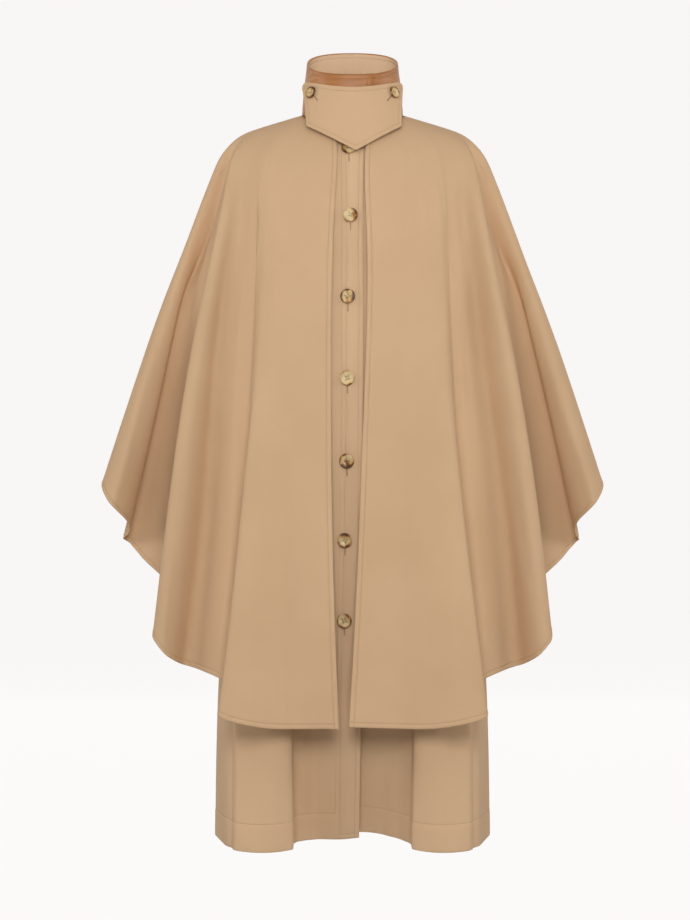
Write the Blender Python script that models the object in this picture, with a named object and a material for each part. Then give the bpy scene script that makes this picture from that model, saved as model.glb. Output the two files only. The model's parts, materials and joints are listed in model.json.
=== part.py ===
"""Cape coat, filled out as when it is worn.

A sleeveless coat with a buttoned placket, a full cape sewn to the same neckline, a leather stand collar, and
a throat flap buttoned across it. +X is to the wearer's left, the front faces -Y, and +Z is up. The origin is
the middle of the neck, level with the side neck points, where the shoulders carry the garment. Right and left
are the wearer's.

All tables are in millimetres and degrees. "out" is the distance from the centre plane, "fore" the distance
towards the front, "drop" the distance below the origin, and a turn is measured round the neck from the centre
front, towards the side that is being made.
"""

import math
from collections import namedtuple

import bmesh
import bpy
import numpy as np
from mathutils import Vector
from mathutils.bvhtree import BVHTree

MM = 0.001
RIGHT = -1.0  # the wearer's right is at -X
LEFT = 1.0

# ---------------------------------------------------------------- sizes

# Walls, and the gap that is left where pieces are sewn or laid together
CAPE_WALL = 1.4
COAT_WALL = 1.2
PLACKET_WALL = 1.4
LEATHER_WALL = 1.3
COLLAR_LINING_WALL = 1.0
FLAP_WALL = 2.4
SEAM_GAP = 0.3

# How finely the cloth is divided between the lines of the tables
CAPE_ROW_STEPS = 2
CAPE_COLUMN_STEPS = 2
COAT_ROW_STEPS = 2
COAT_COLUMN_STEPS = 2
COLLAR_ROW_STEPS = 1
COLLAR_COLUMNS = 40
FLAP_ROWS = 6
FLAP_COLUMNS = 16

# The cape. Ovals over the shoulders, from the neckline to the level where every fold has begun. "rise" is the
# share of a fold's full rise there.
Ring = namedtuple("Ring", "name out fore back drop_front drop_side drop_back rise")
CAPE_RINGS = [
    Ring("neckline", 81.0, 78.5, 55.5, 33.0, -4.0, -29.0, 0.0),
    Ring("yoke", 138.0, 98.0, 92.0, 80.0, 13.0, -6.0, 0.0),
    Ring("shoulder", 191.0, 118.0, 117.0, 134.0, 36.5, 42.0, 0.15),
    Ring("arm_top", 213.0, 130.0, 128.0, 182.0, 66.0, 92.0, 0.6),
    Ring("fold_start", 226.0, 139.0, 136.0, 235.0, 100.0, 150.0, 1.0),
]
RING_TILT = 1.6  # how soon a ring leaves its side height towards the front and the back

# Each ridge and valley of one half of the cape, from the centre front to the centre back: its turn at the
# neckline and the yoke, the shoulder, the top of the arm and the start of the folds, how far it rises out of
# the smooth oval there, where it meets the hem, and how far its middle bows outwards on the way.
Fold = namedtuple("Fold", "name neck shoulder arm start rise hem_out hem_fore hem_drop bow")
CAPE_FOLDS = [
    Fold("panel_inner", 27.0, 17.0, 16.0, 15.0, 0.0, 62.0, 187.0, 957.0, 0.0),
    Fold("panel_valley", 36.0, 26.0, 23.5, 22.0, -1.0, 108.0, 185.0, 958.0, 0.0),
    Fold("panel_outer", 44.0, 33.5, 31.5, 29.5, 2.0, 168.0, 202.0, 949.0, 0.0),
    Fold("front_fold", 50.0, 39.5, 36.5, 34.5, 4.0, 203.5, 190.0, 938.0, -5.0),
    Fold("front_fold_back", 54.0, 43.0, 40.0, 38.0, -3.0, 197.0, 156.0, 925.0, -5.0),
    Fold("front_tuck", 58.0, 47.0, 43.5, 41.5, -9.0, 176.0, 120.0, 905.0, -5.0),
    Fold("middle_rise", 62.0, 52.0, 48.0, 46.0, -3.0, 212.0, 102.0, 885.0, -6.0),
    Fold("middle_valley", 66.0, 59.0, 55.0, 53.0, -5.0, 254.0, 84.0, 871.0, -2.0),
    Fold("middle_crown", 71.0, 67.0, 60.5, 57.0, 8.0, 293.0, 114.0, 848.0, 8.0),
    Fold("middle_fold", 74.0, 71.5, 65.0, 61.5, 7.0, 312.0, 84.0, 815.0, 11.0),
    Fold("middle_tuck", 77.0, 75.0, 69.5, 67.5, -14.0, 282.0, 10.0, 765.0, 6.0),
    Fold("side_valley", 80.0, 78.0, 75.0, 77.5, -16.0, 356.0, -46.0, 684.0, 2.0),
    Fold("side_flank", 83.0, 80.5, 79.0, 82.5, -8.0, 358.0, -6.0, 650.0, 2.0),
    Fold("side_crown", 86.0, 83.0, 82.5, 87.5, 2.0, 383.0, 20.0, 620.0, 4.0),
    Fold("side_fold", 88.0, 85.0, 85.5, 94.0, 4.0, 403.0, -14.0, 588.0, 6.0),
    Fold("side_seam", 90.0, 87.0, 89.0, 101.0, 0.0, 386.0, -78.0, 592.0, 6.0),
    Fold("back_side_valley", 94.0, 91.0, 96.0, 109.0, -8.0, 330.0, -92.0, 658.0, 4.0),
    Fold("back_side_fold", 100.0, 98.0, 105.0, 118.0, 6.0, 310.0, -168.0, 748.0, 6.0),
    Fold("back_tuck", 111.0, 110.0, 117.0, 128.0, -6.0, 232.0, -152.0, 822.0, 0.0),
    Fold("back_fold", 126.0, 127.0, 133.0, 142.0, 4.0, 180.0, -226.0, 884.0, 0.0),
    Fold("back_valley", 147.0, 148.0, 152.0, 157.0, -4.0, 96.0, -194.0, 914.0, 0.0),
    Fold("back_crown", 165.0, 165.0, 167.0, 169.0, 2.0, 44.0, -220.0, 930.0, 0.0),
]
CAPE_BACK_MIDDLE = Fold("back_middle", 180.0, 180.0, 180.0, 180.0, 0.0, 0.0, -212.0, 935.0, 0.0)
HANG_SHARES = (0.34, 0.67, 1.0)  # where a fold line is set between its start and the hem

# The two front edges of the cape run straight down from the collar, and do not hang alike
Edge = namedtuple("Edge", "neck start hem_out hem_fore hem_drop bow")
CAPE_EDGE_RIGHT = Edge(17.6, 8.0, 21.4, 190.0, 958.0, 6.0)
CAPE_EDGE_LEFT = Edge(15.4, 5.7, -5.9, 186.0, 955.0, 4.0)

# The coat. Ovals from the neckline to the knee. "armhole" is the turn at which the fronts and the back end at
# that level, "lobes" the share of the hem's waves, and "full" how far the front stands forward by its edge.
Level = namedtuple("Level", "name out fore back drop_front drop_side drop_back armhole lobes full")
COAT_LEVELS = [
    Level("neckline", 80.2, 76.7, 54.3, 33.8, -2.0, -27.3, 90.0, 0.0, 0.0),
    Level("yoke", 133.0, 92.0, 86.0, 85.0, 19.0, 0.0, 90.0, 0.0, 0.0),
    Level("shoulder_tip", 183.0, 107.0, 104.0, 126.0, 45.0, 50.0, 86.0, 0.0, 0.0),
    Level("armhole", 178.0, 120.0, 114.0, 176.0, 140.0, 135.0, 62.0, 0.0, 0.0),
    Level("underarm", 180.0, 129.0, 116.0, 245.0, 232.0, 232.0, 90.0, 0.0, 0.0),
    Level("bust", 184.0, 134.0, 113.0, 320.0, 320.0, 320.0, 90.0, 0.0, 5.0),
    Level("waist", 180.0, 133.0, 110.0, 470.0, 470.0, 470.0, 90.0, 0.06, 14.0),
    Level("hip", 194.0, 134.0, 124.0, 650.0, 650.0, 650.0, 90.0, 0.25, 23.0),
    Level("thigh", 212.0, 137.0, 136.0, 860.0, 860.0, 860.0, 90.0, 0.55, 26.0),
    Level("hem", 219.5, 140.0, 142.0, 1148.0, 1148.0, 1148.0, 90.0, 1.0, 0.0),
]
FULL_TURNS = (14.0, 36.0)  # the front stands full by its edge, and on its oval from the second turn on
STRAIGHT_LEVEL = 2  # from this level on, a line keeps its turn
STRAIGHT_EASE = 0.5  # and it comes near it sooner where this is smaller
ARMHOLE_TURN = 25.0  # the armhole narrows the cloth only beyond this turn

# Each wave of the coat, from its front edge to the side seam, and from there to the centre back: its turn at
# the neckline and below, and where it meets the hem
Wave = namedtuple("Wave", "name neck turn hem_out hem_fore hem_drop")
COAT_EDGE_RIGHT = [
    Wave("edge", -13.0, -5.2, -10.0, 83.0, 1138.0),
    Wave("placket_seam", 13.0, 5.5, 28.5, 80.0, 1142.0),
    Wave("recess", 30.0, 14.0, 62.0, 72.0, 1143.0),
    Wave("step", 40.0, 22.0, 86.0, 82.0, 1146.0),
]
COAT_EDGE_LEFT = [
    Wave("edge", -13.0, -6.0, -18.0, 74.0, 1133.0),
    Wave("placket_seam", 13.0, 5.5, 22.0, 66.0, 1133.0),
    Wave("recess", 30.0, 14.0, 54.0, 64.0, 1138.0),
    Wave("step", 40.0, 22.0, 86.0, 88.0, 1146.0),
]
COAT_WAVES = [
    Wave("lobe_inner", 46.0, 28.0, 96.0, 128.0, 1150.0),
    Wave("lobe_crown", 57.0, 40.0, 138.0, 145.0, 1153.0),
    Wave("lobe_outer", 68.0, 55.0, 183.0, 128.0, 1151.0),
    Wave("side_hollow", 79.0, 70.0, 202.0, 80.0, 1149.0),
    Wave("side_seam", 90.0, 90.0, 219.5, 0.0, 1147.0),
]
COAT_BACK_WAVES = [
    Wave("side_seam", 90.0, 90.0, 219.5, 0.0, 1147.0),
    Wave("back_side", 110.0, 110.0, 210.0, -70.0, 1148.0),
    Wave("back_lobe_outer", 128.0, 128.0, 172.0, -132.0, 1150.0),
    Wave("back_hollow", 146.0, 146.0, 116.0, -122.0, 1149.0),
    Wave("back_lobe_inner", 163.0, 163.0, 58.0, -150.0, 1150.0),
]
COAT_BACK_MIDDLE = Wave("back_middle", 180.0, 180.0, 0.0, -136.0, 1149.0)
UNDERLAP = 2.4  # how far the left front lies behind the right one where they cross
UNDERLAP_ENDS = (22.0, 62.0)  # the left front comes forward again between these distances from the centre

# The collar. Its ovals are a little square, and lean back from the throat to the nape.
Band = namedtuple("Band", "name out fore back drop_front drop_side drop_back tilt square")
COLLAR_BANDS = [
    Band("base", 80.7, 78.2, 55.2, 32.4, -4.6, -29.7, 1.6, 2.0),
    Band("middle", 77.5, 76.8, 60.0, -13.0, -46.0, -71.0, 1.3, 2.3),
    Band("rim", 72.3, 75.2, 65.0, -58.0, -86.6, -113.0, 1.0, 2.4),
]
OVER_END_BASE = 13.5  # turn at which the upper end stops, past the centre front
OVER_END_RIM = 24.5
UNDER_END = 14.0
COLLAR_LAP = 4.0  # how far the end that lies under is drawn in
COLLAR_LAP_TURNS = (290.0, 326.0)  # it is drawn in between these turns

# The throat flap, a pentagon that curves round the collar
FLAP_TOP_MIDDLE = 38.5
FLAP_TOP_ENDS = 50.0
FLAP_CORNER = 9.0  # radius of the upper corners
FLAP_SIDE_TOP = 77.6
FLAP_SIDE_BOTTOM_RIGHT = 71.0
FLAP_SIDE_BOTTOM_LEFT = 76.0
FLAP_SIDE_DROP = 22.0
FLAP_TIP_ACROSS = 5.2
FLAP_TIP_DROP = 63.7
FLAP_OUT_TOP = 84.0  # half axes of its curve at the top and at the tip
FLAP_OUT_TIP = 108.0
FLAP_FORE_TOP = 78.3
FLAP_FORE_TIP = 98.0
FLAP_SQUARE = 2.6

# The buttons: a disc with a raised rim, a dished face and four holes
PLACKET_BUTTON = 23.0
FLAP_BUTTON = 19.0
BUTTON_HEIGHT = 0.19  # of its diameter
Turned = namedtuple("Turned", "name reach level")  # shares of the radius and of the height
BUTTON_PROFILE = [
    Turned("back_middle", 0.0, 0.0),
    Turned("back_edge", 0.72, 0.0),
    Turned("girth", 1.0, 0.55),
    Turned("rim_outer", 0.95, 0.9),
    Turned("rim_crest", 0.86, 1.0),
    Turned("dish_edge", 0.66, 0.66),
    Turned("dish_middle", 0.0, 0.66),
]
HOLE_SIZE = 0.095  # of its diameter
HOLE_SPACING = 0.085  # of its diameter, from the middle
BUTTON_STEPS = 16
HOLE_SIDES = 5
BUTTON_GAP = 0.9
ButtonPlace = namedtuple("ButtonPlace", "across drop")
PLACKET_BUTTONS = [
    ButtonPlace(-5.8, 57.0),
    ButtonPlace(-3.5, 167.0),
    ButtonPlace(-7.4, 294.0),
    ButtonPlace(-8.1, 420.5),
    ButtonPlace(-8.9, 548.5),
    ButtonPlace(-12.0, 671.0),
    ButtonPlace(-12.8, 795.0),
]
FLAP_BUTTON_PLACES = {"right": ButtonPlace(-64.5, -31.5), "left": ButtonPlace(64.5, -31.5)}

Finish = namedtuple("Finish", "colour roughness")
GABARDINE = Finish((0.56, 0.39, 0.235), 0.85)
LEATHER = Finish((0.40, 0.20, 0.09), 0.5)
HORN = Finish((0.50, 0.36, 0.17), 0.3)


# ---------------------------------------------------------------- curves

def curve_through(points, steps):
    """Samples a natural cubic curve through points, with so many steps from each point to the next."""
    points = np.asarray(points, float)
    count = len(points)
    if steps == 1:
        return points
    gap = np.linalg.norm(np.diff(points, axis=0), axis=1)
    system = np.eye(count)
    right_side = np.zeros_like(points)
    for i in range(1, count - 1):
        system[i, i - 1 : i + 2] = gap[i - 1], 2 * (gap[i - 1] + gap[i]), gap[i]
        slope_before = (points[i] - points[i - 1]) / gap[i - 1]
        slope_after = (points[i + 1] - points[i]) / gap[i]
        right_side[i] = 6 * (slope_after - slope_before)
    bend = np.linalg.solve(system, right_side)
    made = []
    for i in range(count - 1):
        for step in range(steps):
            b = step / steps
            a = 1 - b
            cubic = ((a**3 - a) * bend[i] + (b**3 - b) * bend[i + 1]) * gap[i] ** 2 / 6
            made.append(a * points[i] + b * points[i + 1] + cubic)
    made.append(points[-1])
    return np.array(made)


def smooth_step(value, start, end):
    share = min(max((value - start) / (end - start), 0.0), 1.0)
    return share * share * (3 - 2 * share)


def on_ring(ring, turn):
    """A point of a tilted oval. Front and back may differ in depth and in height."""
    angle = math.radians(turn)
    to_front = abs(turn) <= 90
    depth = ring.fore if to_front else ring.back
    end_drop = ring.drop_front if to_front else ring.drop_back
    tilt = abs(math.cos(angle)) ** RING_TILT
    drop = ring.drop_side + (end_drop - ring.drop_side) * tilt
    return np.array([ring.out * math.sin(angle), -depth * math.cos(angle), -drop])


def at_hem(line):
    return np.array([line.hem_out, -line.hem_fore, -line.hem_drop])


def surface_between(lines, row_steps, column_steps):
    """Rows of points, from the top to the hem, on the smooth surface through lines that run down it."""
    down = np.array([curve_through(line, row_steps) for line in lines])
    return np.array([curve_through(row, column_steps) for row in down.transpose(1, 0, 2)])


def to_side(points, side):
    return np.asarray(points) * np.array([side, 1.0, 1.0])


# ---------------------------------------------------------------- the cape

def hung(line, hem, bow):
    """Carries a line on from the start of the folds to the hem."""
    start = line[-1]
    for share in HANG_SHARES:
        point = start + (hem - start) * share
        point[0] += bow * 4 * share * (1 - share)
        line.append(point)
    return np.array(line)


def cape_edge_line(edge):
    """A front edge. It is straight, so its turn grows towards the small neckline."""
    wide = CAPE_RINGS[-1].out
    narrow = CAPE_RINGS[0].out
    line = []
    for ring in CAPE_RINGS:
        near_neck = ((wide - ring.out) / (wide - narrow)) ** 3
        line.append(on_ring(ring, edge.start + (edge.neck - edge.start) * near_neck))
    return hung(line, at_hem(edge), edge.bow)


def cape_fold_line(fold):
    """A ridge or valley, from the neckline over the shoulder to the hem."""
    turns = (fold.neck, fold.neck, fold.shoulder, fold.arm, fold.start)
    line = []
    for ring, turn in zip(CAPE_RINGS, turns):
        outwards = np.array([math.sin(math.radians(turn)), -math.cos(math.radians(turn)), 0.0])
        line.append(on_ring(ring, turn) + outwards * fold.rise * ring.rise)
    return hung(line, at_hem(fold), fold.bow)


def cape_half(edge):
    return [cape_edge_line(edge), *[cape_fold_line(fold) for fold in CAPE_FOLDS]]


def cape_surface(row_steps, column_steps):
    """The whole cape as one surface, from its right front edge round the back to the left one."""
    right = [to_side(line, RIGHT) for line in cape_half(CAPE_EDGE_RIGHT)]
    left = [to_side(line, LEFT) for line in cape_half(CAPE_EDGE_LEFT)]
    lines = [*right, cape_fold_line(CAPE_BACK_MIDDLE), *reversed(left)]
    return surface_between(lines, row_steps, column_steps)


# ---------------------------------------------------------------- the coat

def within_armhole(turn, armhole):
    """Draws a front in towards its middle where the armhole is cut out."""
    if turn < ARMHOLE_TURN:
        return turn
    return ARMHOLE_TURN + (turn - ARMHOLE_TURN) * (armhole - ARMHOLE_TURN) / (90 - ARMHOLE_TURN)


def coat_line(wave, behind=False):
    """One line of the coat, from the neckline to the hem. Behind, the armhole draws it in to the back."""
    smooth_hem = on_ring(COAT_LEVELS[-1], wave.turn)
    line = []
    for number, level in enumerate(COAT_LEVELS):
        straight = min(number / STRAIGHT_LEVEL, 1.0) ** STRAIGHT_EASE
        turn = wave.neck + (wave.turn - wave.neck) * straight
        if behind:
            turn = 180 - within_armhole(180 - turn, level.armhole)
        else:
            turn = within_armhole(turn, level.armhole)
        point = on_ring(level, turn) + (at_hem(wave) - smooth_hem) * level.lobes
        point[1] -= level.full * (1 - smooth_step(abs(turn), *FULL_TURNS))
        line.append(point)
    return np.array(line)


def coat_front(edge_waves, side, row_steps, column_steps):
    """One front, from its edge to the side seam, which no point of it passes."""
    lines = [coat_line(wave) for wave in [*edge_waves, *COAT_WAVES]]
    front = surface_between(lines, row_steps, column_steps)
    front[:, :, 1] = np.minimum(front[:, :, 1], 0.0)
    return to_side(front, side)


def laid_under(front):
    """Moves the left front back where the right one covers it."""
    front = front.copy()
    for row in front:
        for point in row:
            point[1] += UNDERLAP * (1 - smooth_step(point[0], *UNDERLAP_ENDS))
    return front


def coat_back(row_steps, column_steps):
    left = [coat_line(wave, behind=True) for wave in COAT_BACK_WAVES]
    right = [to_side(line, RIGHT) for line in left]
    middle = coat_line(COAT_BACK_MIDDLE, behind=True)
    back = surface_between([*right, middle, *reversed(left)], row_steps, column_steps)
    back[:, :, 1] = np.maximum(back[:, :, 1], 0.0)
    return back


# ---------------------------------------------------------------- the collar and its flap

def on_band(band, turn, drawn_in):
    """A point of a collar band, with the turn running round through the wearer's right to the nape."""
    angle = math.radians(turn)
    to_front = math.cos(angle) >= 0
    depth = band.fore if to_front else band.back
    end_drop = band.drop_front if to_front else band.drop_back
    across = abs(math.sin(angle)) / band.out
    along = abs(math.cos(angle)) / depth
    radius = (across**band.square + along**band.square) ** (-1 / band.square)
    tilt = (radius * abs(math.cos(angle)) / depth) ** band.tilt
    drop = band.drop_side + (end_drop - band.drop_side) * tilt
    radius -= drawn_in
    return np.array([-radius * math.sin(angle), -radius * math.cos(angle), -drop])


def collar_surface(inset, row_steps, columns):
    """The collar from its upper end, left of the centre front, round the nape to the end that lies under."""
    bands = []
    for band, over_end in zip(COLLAR_BANDS, np.linspace(OVER_END_BASE, OVER_END_RIM, len(COLLAR_BANDS))):
        row = []
        for column in range(columns + 1):
            turn = -over_end + (360 + over_end + UNDER_END) * column / columns
            lap = COLLAR_LAP * smooth_step(turn, *COLLAR_LAP_TURNS)
            row.append(on_band(band, turn, inset + lap))
        bands.append(row)
    lines = np.array(bands[::-1]).transpose(1, 0, 2)
    return surface_between(lines, row_steps, 1)


def flap_depth(across, height):
    """How far the flap's face lies in front of the neck's middle, at a distance across and a height."""
    down = max((FLAP_TOP_MIDDLE - height) / (FLAP_TOP_MIDDLE + FLAP_TIP_DROP), 0.0)
    fore = FLAP_FORE_TOP + (FLAP_FORE_TIP - FLAP_FORE_TOP) * down
    out = FLAP_OUT_TOP + (FLAP_OUT_TIP - FLAP_OUT_TOP) * down
    return fore * (1 - (abs(across) / out) ** FLAP_SQUARE) ** (1 / FLAP_SQUARE)


def flap_surface(rows, columns):
    grid = []
    for row in range(rows + 1):
        down = row / rows
        points = []
        for column in range(columns + 1):
            share = 2 * column / columns - 1
            bottom = FLAP_SIDE_BOTTOM_RIGHT if share < 0 else FLAP_SIDE_BOTTOM_LEFT
            side = FLAP_SIDE_TOP + (bottom - FLAP_SIDE_TOP) * down
            corner = max(0.0, (abs(share) * side - (side - FLAP_CORNER)) / FLAP_CORNER)
            top = FLAP_TOP_MIDDLE + (FLAP_TOP_ENDS - FLAP_TOP_MIDDLE) * share**2
            top -= FLAP_CORNER * (1 - math.sqrt(max(0.0, 1 - corner**2)))
            tip_shift = FLAP_TIP_ACROSS * (1 - abs(share)) * down
            low = FLAP_TIP_DROP + (FLAP_SIDE_DROP - FLAP_TIP_DROP) * abs(share)
            across = share * side + tip_shift
            height = top + (-low - top) * down
            points.append([across, -flap_depth(across, height), height])
        grid.append(points)
    return np.array(grid)


# ---------------------------------------------------------------- building in Blender

def clear_scene():
    for thing in list(bpy.data.objects):
        bpy.data.objects.remove(thing, do_unlink=True)


def new_material(name, finish):
    made = bpy.data.materials.new(name)
    made.use_nodes = True
    shader = made.node_tree.nodes["Principled BSDF"]
    shader.inputs["Base Color"].default_value = (*finish.colour, 1.0)
    shader.inputs["Roughness"].default_value = finish.roughness
    return made


def add_object(name, shape, finish, collection):
    """Makes an object from a bmesh in millimetres, with a material of its own."""
    bmesh.ops.scale(shape, vec=(MM, MM, MM), verts=shape.verts)
    mesh = bpy.data.meshes.new(name)
    shape.to_mesh(mesh)
    shape.free()
    mesh.shade_smooth()
    mesh.materials.append(new_material(name + "_finish", finish))
    made = bpy.data.objects.new(name, mesh)
    collection.objects.link(made)
    return made


def moved_out(grid, distance, before=None, after=None):
    """Moves a surface out along its normals. The columns before and after it smooth the normals at a seam."""
    skipped = 0 if before is None else 1
    known = [part for part in (before, grid, after) if part is not None]
    wide = np.concatenate(known, axis=1)
    normals = np.cross(np.gradient(wide, axis=0), np.gradient(wide, axis=1))
    normals /= np.linalg.norm(normals, axis=2, keepdims=True)
    if (normals[:, :, :2] * wide[:, :, :2]).sum() < 0:
        normals = -normals
    return grid + normals[:, skipped : skipped + grid.shape[1]] * distance


def with_seams(grid, first, last):
    """Draws the first or the last column in by half a seam gap, where the piece is sewn to the next one."""
    grid = grid.copy()
    for sewn, end, inner in ((first, 0, 1), (last, -1, -2)):
        if sewn:
            along = grid[:, inner] - grid[:, end]
            grid[:, end] += along / np.linalg.norm(along, axis=1, keepdims=True) * SEAM_GAP / 2
    return grid


def border_of(rows, columns):
    """The places of a grid's border, once round."""
    top = [(0, column) for column in range(columns - 1)]
    last = [(row, columns - 1) for row in range(rows - 1)]
    bottom = [(rows - 1, column) for column in range(columns - 1, 0, -1)]
    first = [(row, 0) for row in range(rows - 1, 0, -1)]
    return [*top, *last, *bottom, *first]


def cloth(name, outer, inner, finish, collection):
    """A piece of cloth: an outer and an inner face of the same rows and columns, closed round its border."""
    rows, columns = outer.shape[:2]
    shape = bmesh.new()
    skins = [[[shape.verts.new(point) for point in row] for row in grid] for grid in (outer, inner)]
    for skin in skins:
        for row in range(rows - 1):
            for column in range(columns - 1):
                upper = skin[row][column : column + 2]
                lower = skin[row + 1][column : column + 2]
                shape.faces.new([*upper, *lower[::-1]])
    border = border_of(rows, columns)
    for (row, column), (next_row, next_column) in zip(border, [*border[1:], border[0]]):
        here = [skin[row][column] for skin in skins]
        there = [skin[next_row][next_column] for skin in skins]
        shape.faces.new([*here, *there[::-1]])
    bmesh.ops.recalc_face_normals(shape, faces=shape.faces)
    return add_object(name, shape, finish, collection)


def make_cape(collection):
    outer = cape_surface(CAPE_ROW_STEPS, CAPE_COLUMN_STEPS)
    inner = moved_out(outer, -CAPE_WALL)
    lines_before_seam = 1 + [fold.name for fold in CAPE_FOLDS].index("side_seam")
    right_seam = lines_before_seam * CAPE_COLUMN_STEPS
    left_seam = outer.shape[1] - 1 - right_seam
    panels = {
        "cape_front_right": (slice(0, right_seam + 1), False, True),
        "cape_back": (slice(right_seam, left_seam + 1), True, True),
        "cape_front_left": (slice(left_seam, None), True, False),
    }
    for name, (columns, first, last) in panels.items():
        faces = [with_seams(skin[:, columns], first, last) for skin in (outer, inner)]
        cloth(name, *faces, GABARDINE, collection)


def make_coat(collection):
    """The coat's three panels and the placket band. Returns the placket's outer face."""
    right = coat_front(COAT_EDGE_RIGHT, RIGHT, COAT_ROW_STEPS, COAT_COLUMN_STEPS)
    left = laid_under(coat_front(COAT_EDGE_LEFT, LEFT, COAT_ROW_STEPS, COAT_COLUMN_STEPS))
    back = coat_back(COAT_ROW_STEPS, COAT_COLUMN_STEPS)
    right_inner = moved_out(right, -COAT_WALL, after=back[:, 1:2])
    left_inner = moved_out(left, -COAT_WALL, after=back[:, -2:-1])
    back_inner = moved_out(back, -COAT_WALL, before=right[:, -2:-1], after=left[:, -2:-1])
    fronts = {"coat_front_right": (right, right_inner), "coat_front_left": (left, left_inner)}
    for name, skins in fronts.items():
        cloth(name, *[with_seams(skin, False, True) for skin in skins], GABARDINE, collection)
    cloth("coat_back", *[with_seams(skin, True, True) for skin in (back, back_inner)], GABARDINE, collection)

    band = slice(0, COAT_COLUMN_STEPS + 1)
    lower = moved_out(right, SEAM_GAP)[:, band]
    upper = moved_out(right, SEAM_GAP + PLACKET_WALL)[:, band]
    cloth("placket", upper, lower, GABARDINE, collection)
    return upper


def make_collar(collection):
    for name, inset, wall, finish in (
        ("collar_outer", 0.0, LEATHER_WALL, LEATHER),
        ("collar_inner", LEATHER_WALL + SEAM_GAP, COLLAR_LINING_WALL, GABARDINE),
    ):
        skins = [collar_surface(depth, COLLAR_ROW_STEPS, COLLAR_COLUMNS) for depth in (inset, inset + wall)]
        cloth(name, *skins, finish, collection)


def make_flap(collection):
    outer = flap_surface(FLAP_ROWS, FLAP_COLUMNS)
    cloth("throat_flap", outer, moved_out(outer, -FLAP_WALL), GABARDINE, collection)
    return outer


def button_shape(diameter):
    """A button lying on the XY plane, turned from its profile and drilled."""
    radius = diameter / 2
    height = BUTTON_HEIGHT * diameter
    shape = bmesh.new()
    outline = [shape.verts.new((point.reach * radius, 0.0, point.level * height)) for point in BUTTON_PROFILE]
    edges = [shape.edges.new(pair) for pair in zip(outline, outline[1:])]
    bmesh.ops.spin(
        shape,
        geom=[*outline, *edges],
        cent=(0, 0, 0),
        axis=(0, 0, 1),
        angle=2 * math.pi,
        steps=BUTTON_STEPS,
        use_merge=True,
    )
    bmesh.ops.remove_doubles(shape, verts=shape.verts, dist=diameter * 1e-4)
    bmesh.ops.recalc_face_normals(shape, faces=shape.faces)
    return shape


def drill_shape(diameter):
    """Four thin rods that pass through the button's holes."""
    rods = bmesh.new()
    reach = HOLE_SPACING * diameter
    for across in (-reach, reach):
        for up in (-reach, reach):
            made = bmesh.ops.create_cone(
                rods,
                cap_ends=True,
                segments=HOLE_SIDES,
                radius1=HOLE_SIZE * diameter / 2,
                radius2=HOLE_SIZE * diameter / 2,
                depth=diameter,
            )
            bmesh.ops.translate(rods, vec=(across, up, 0), verts=made["verts"])
    return rods


def make_button(name, diameter, place, normal, collection, cutters):
    """A button whose back lies against the cloth at a place, facing along the cloth's normal."""
    button = add_object(name, button_shape(diameter), HORN, collection)
    drill = add_object(name + "_drill", drill_shape(diameter), HORN, cutters)
    drill.hide_render = True
    drill.display_type = "WIRE"
    seat = (Vector(place) + Vector(normal) * BUTTON_GAP) * MM
    for thing in (button, drill):
        thing.location = seat
        thing.rotation_mode = "QUATERNION"
        thing.rotation_quaternion = Vector(normal).to_track_quat("Z", "X")
    holes = button.modifiers.new("holes", "BOOLEAN")
    holes.object = drill
    holes.operation = "DIFFERENCE"
    holes.solver = "EXACT"
    return button


def face_tree(grid):
    """A search tree of a grid's faces, to find where a button meets the cloth."""
    rows, columns = grid.shape[:2]
    faces = []
    for row in range(rows - 1):
        for column in range(columns - 1):
            first = row * columns + column
            faces.append((first, first + 1, first + columns + 1, first + columns))
    return BVHTree.FromPolygons([Vector(point) for point in grid.reshape(-1, 3)], faces)


def seen_from_front(tree, place):
    """Where the cloth lies at a place that is given across and down, and which way it faces."""
    before = Vector((place.across, -1000.0, -place.drop))
    hit, normal, _, _ = tree.ray_cast(before, Vector((0.0, 1.0, 0.0)))
    if normal.y > 0:
        normal = -normal
    return hit, normal


def main():
    clear_scene()
    collection = bpy.data.collections.new("cape_coat")
    cutters = bpy.data.collections.new("cutters")
    for made in (collection, cutters):
        bpy.context.scene.collection.children.link(made)

    make_cape(collection)
    placket = make_coat(collection)
    make_collar(collection)
    flap = make_flap(collection)

    placket_faces = face_tree(placket)
    for number, place in enumerate(PLACKET_BUTTONS, start=1):
        seat, normal = seen_from_front(placket_faces, place)
        make_button(f"button_{number}", PLACKET_BUTTON, seat, normal, collection, cutters)
    flap_faces = face_tree(flap)
    for side, place in FLAP_BUTTON_PLACES.items():
        seat, normal = seen_from_front(flap_faces, place)
        make_button(f"flap_button_{side}", FLAP_BUTTON, seat, normal, collection, cutters)


main()
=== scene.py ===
# %% [markdown]
# # A cape coat in camel gabardine
#
# The real garment is a knee-length coat without sleeves, buttoned down a placket, with a full cape sewn to the
# same neckline, a leather stand collar and a throat flap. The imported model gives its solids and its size. This
# lesson dresses them: each piece of cloth is laid again on its solid's own lines, finer, with its hems, stitches
# and creases, and every finish is made of nodes.
#
# All tables are in millimetres and degrees. +X is to the wearer's left, the front faces -Y, and +Z is up. "out"
# is the distance from the centre plane, "fore" towards the front, "drop" below the neck's side points.

# %% Load the frame
import json
import math
from collections import namedtuple

import bmesh
import bpy
import numpy as np
from mathutils import Matrix, Vector
from mathutils.bvhtree import BVHTree

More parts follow.
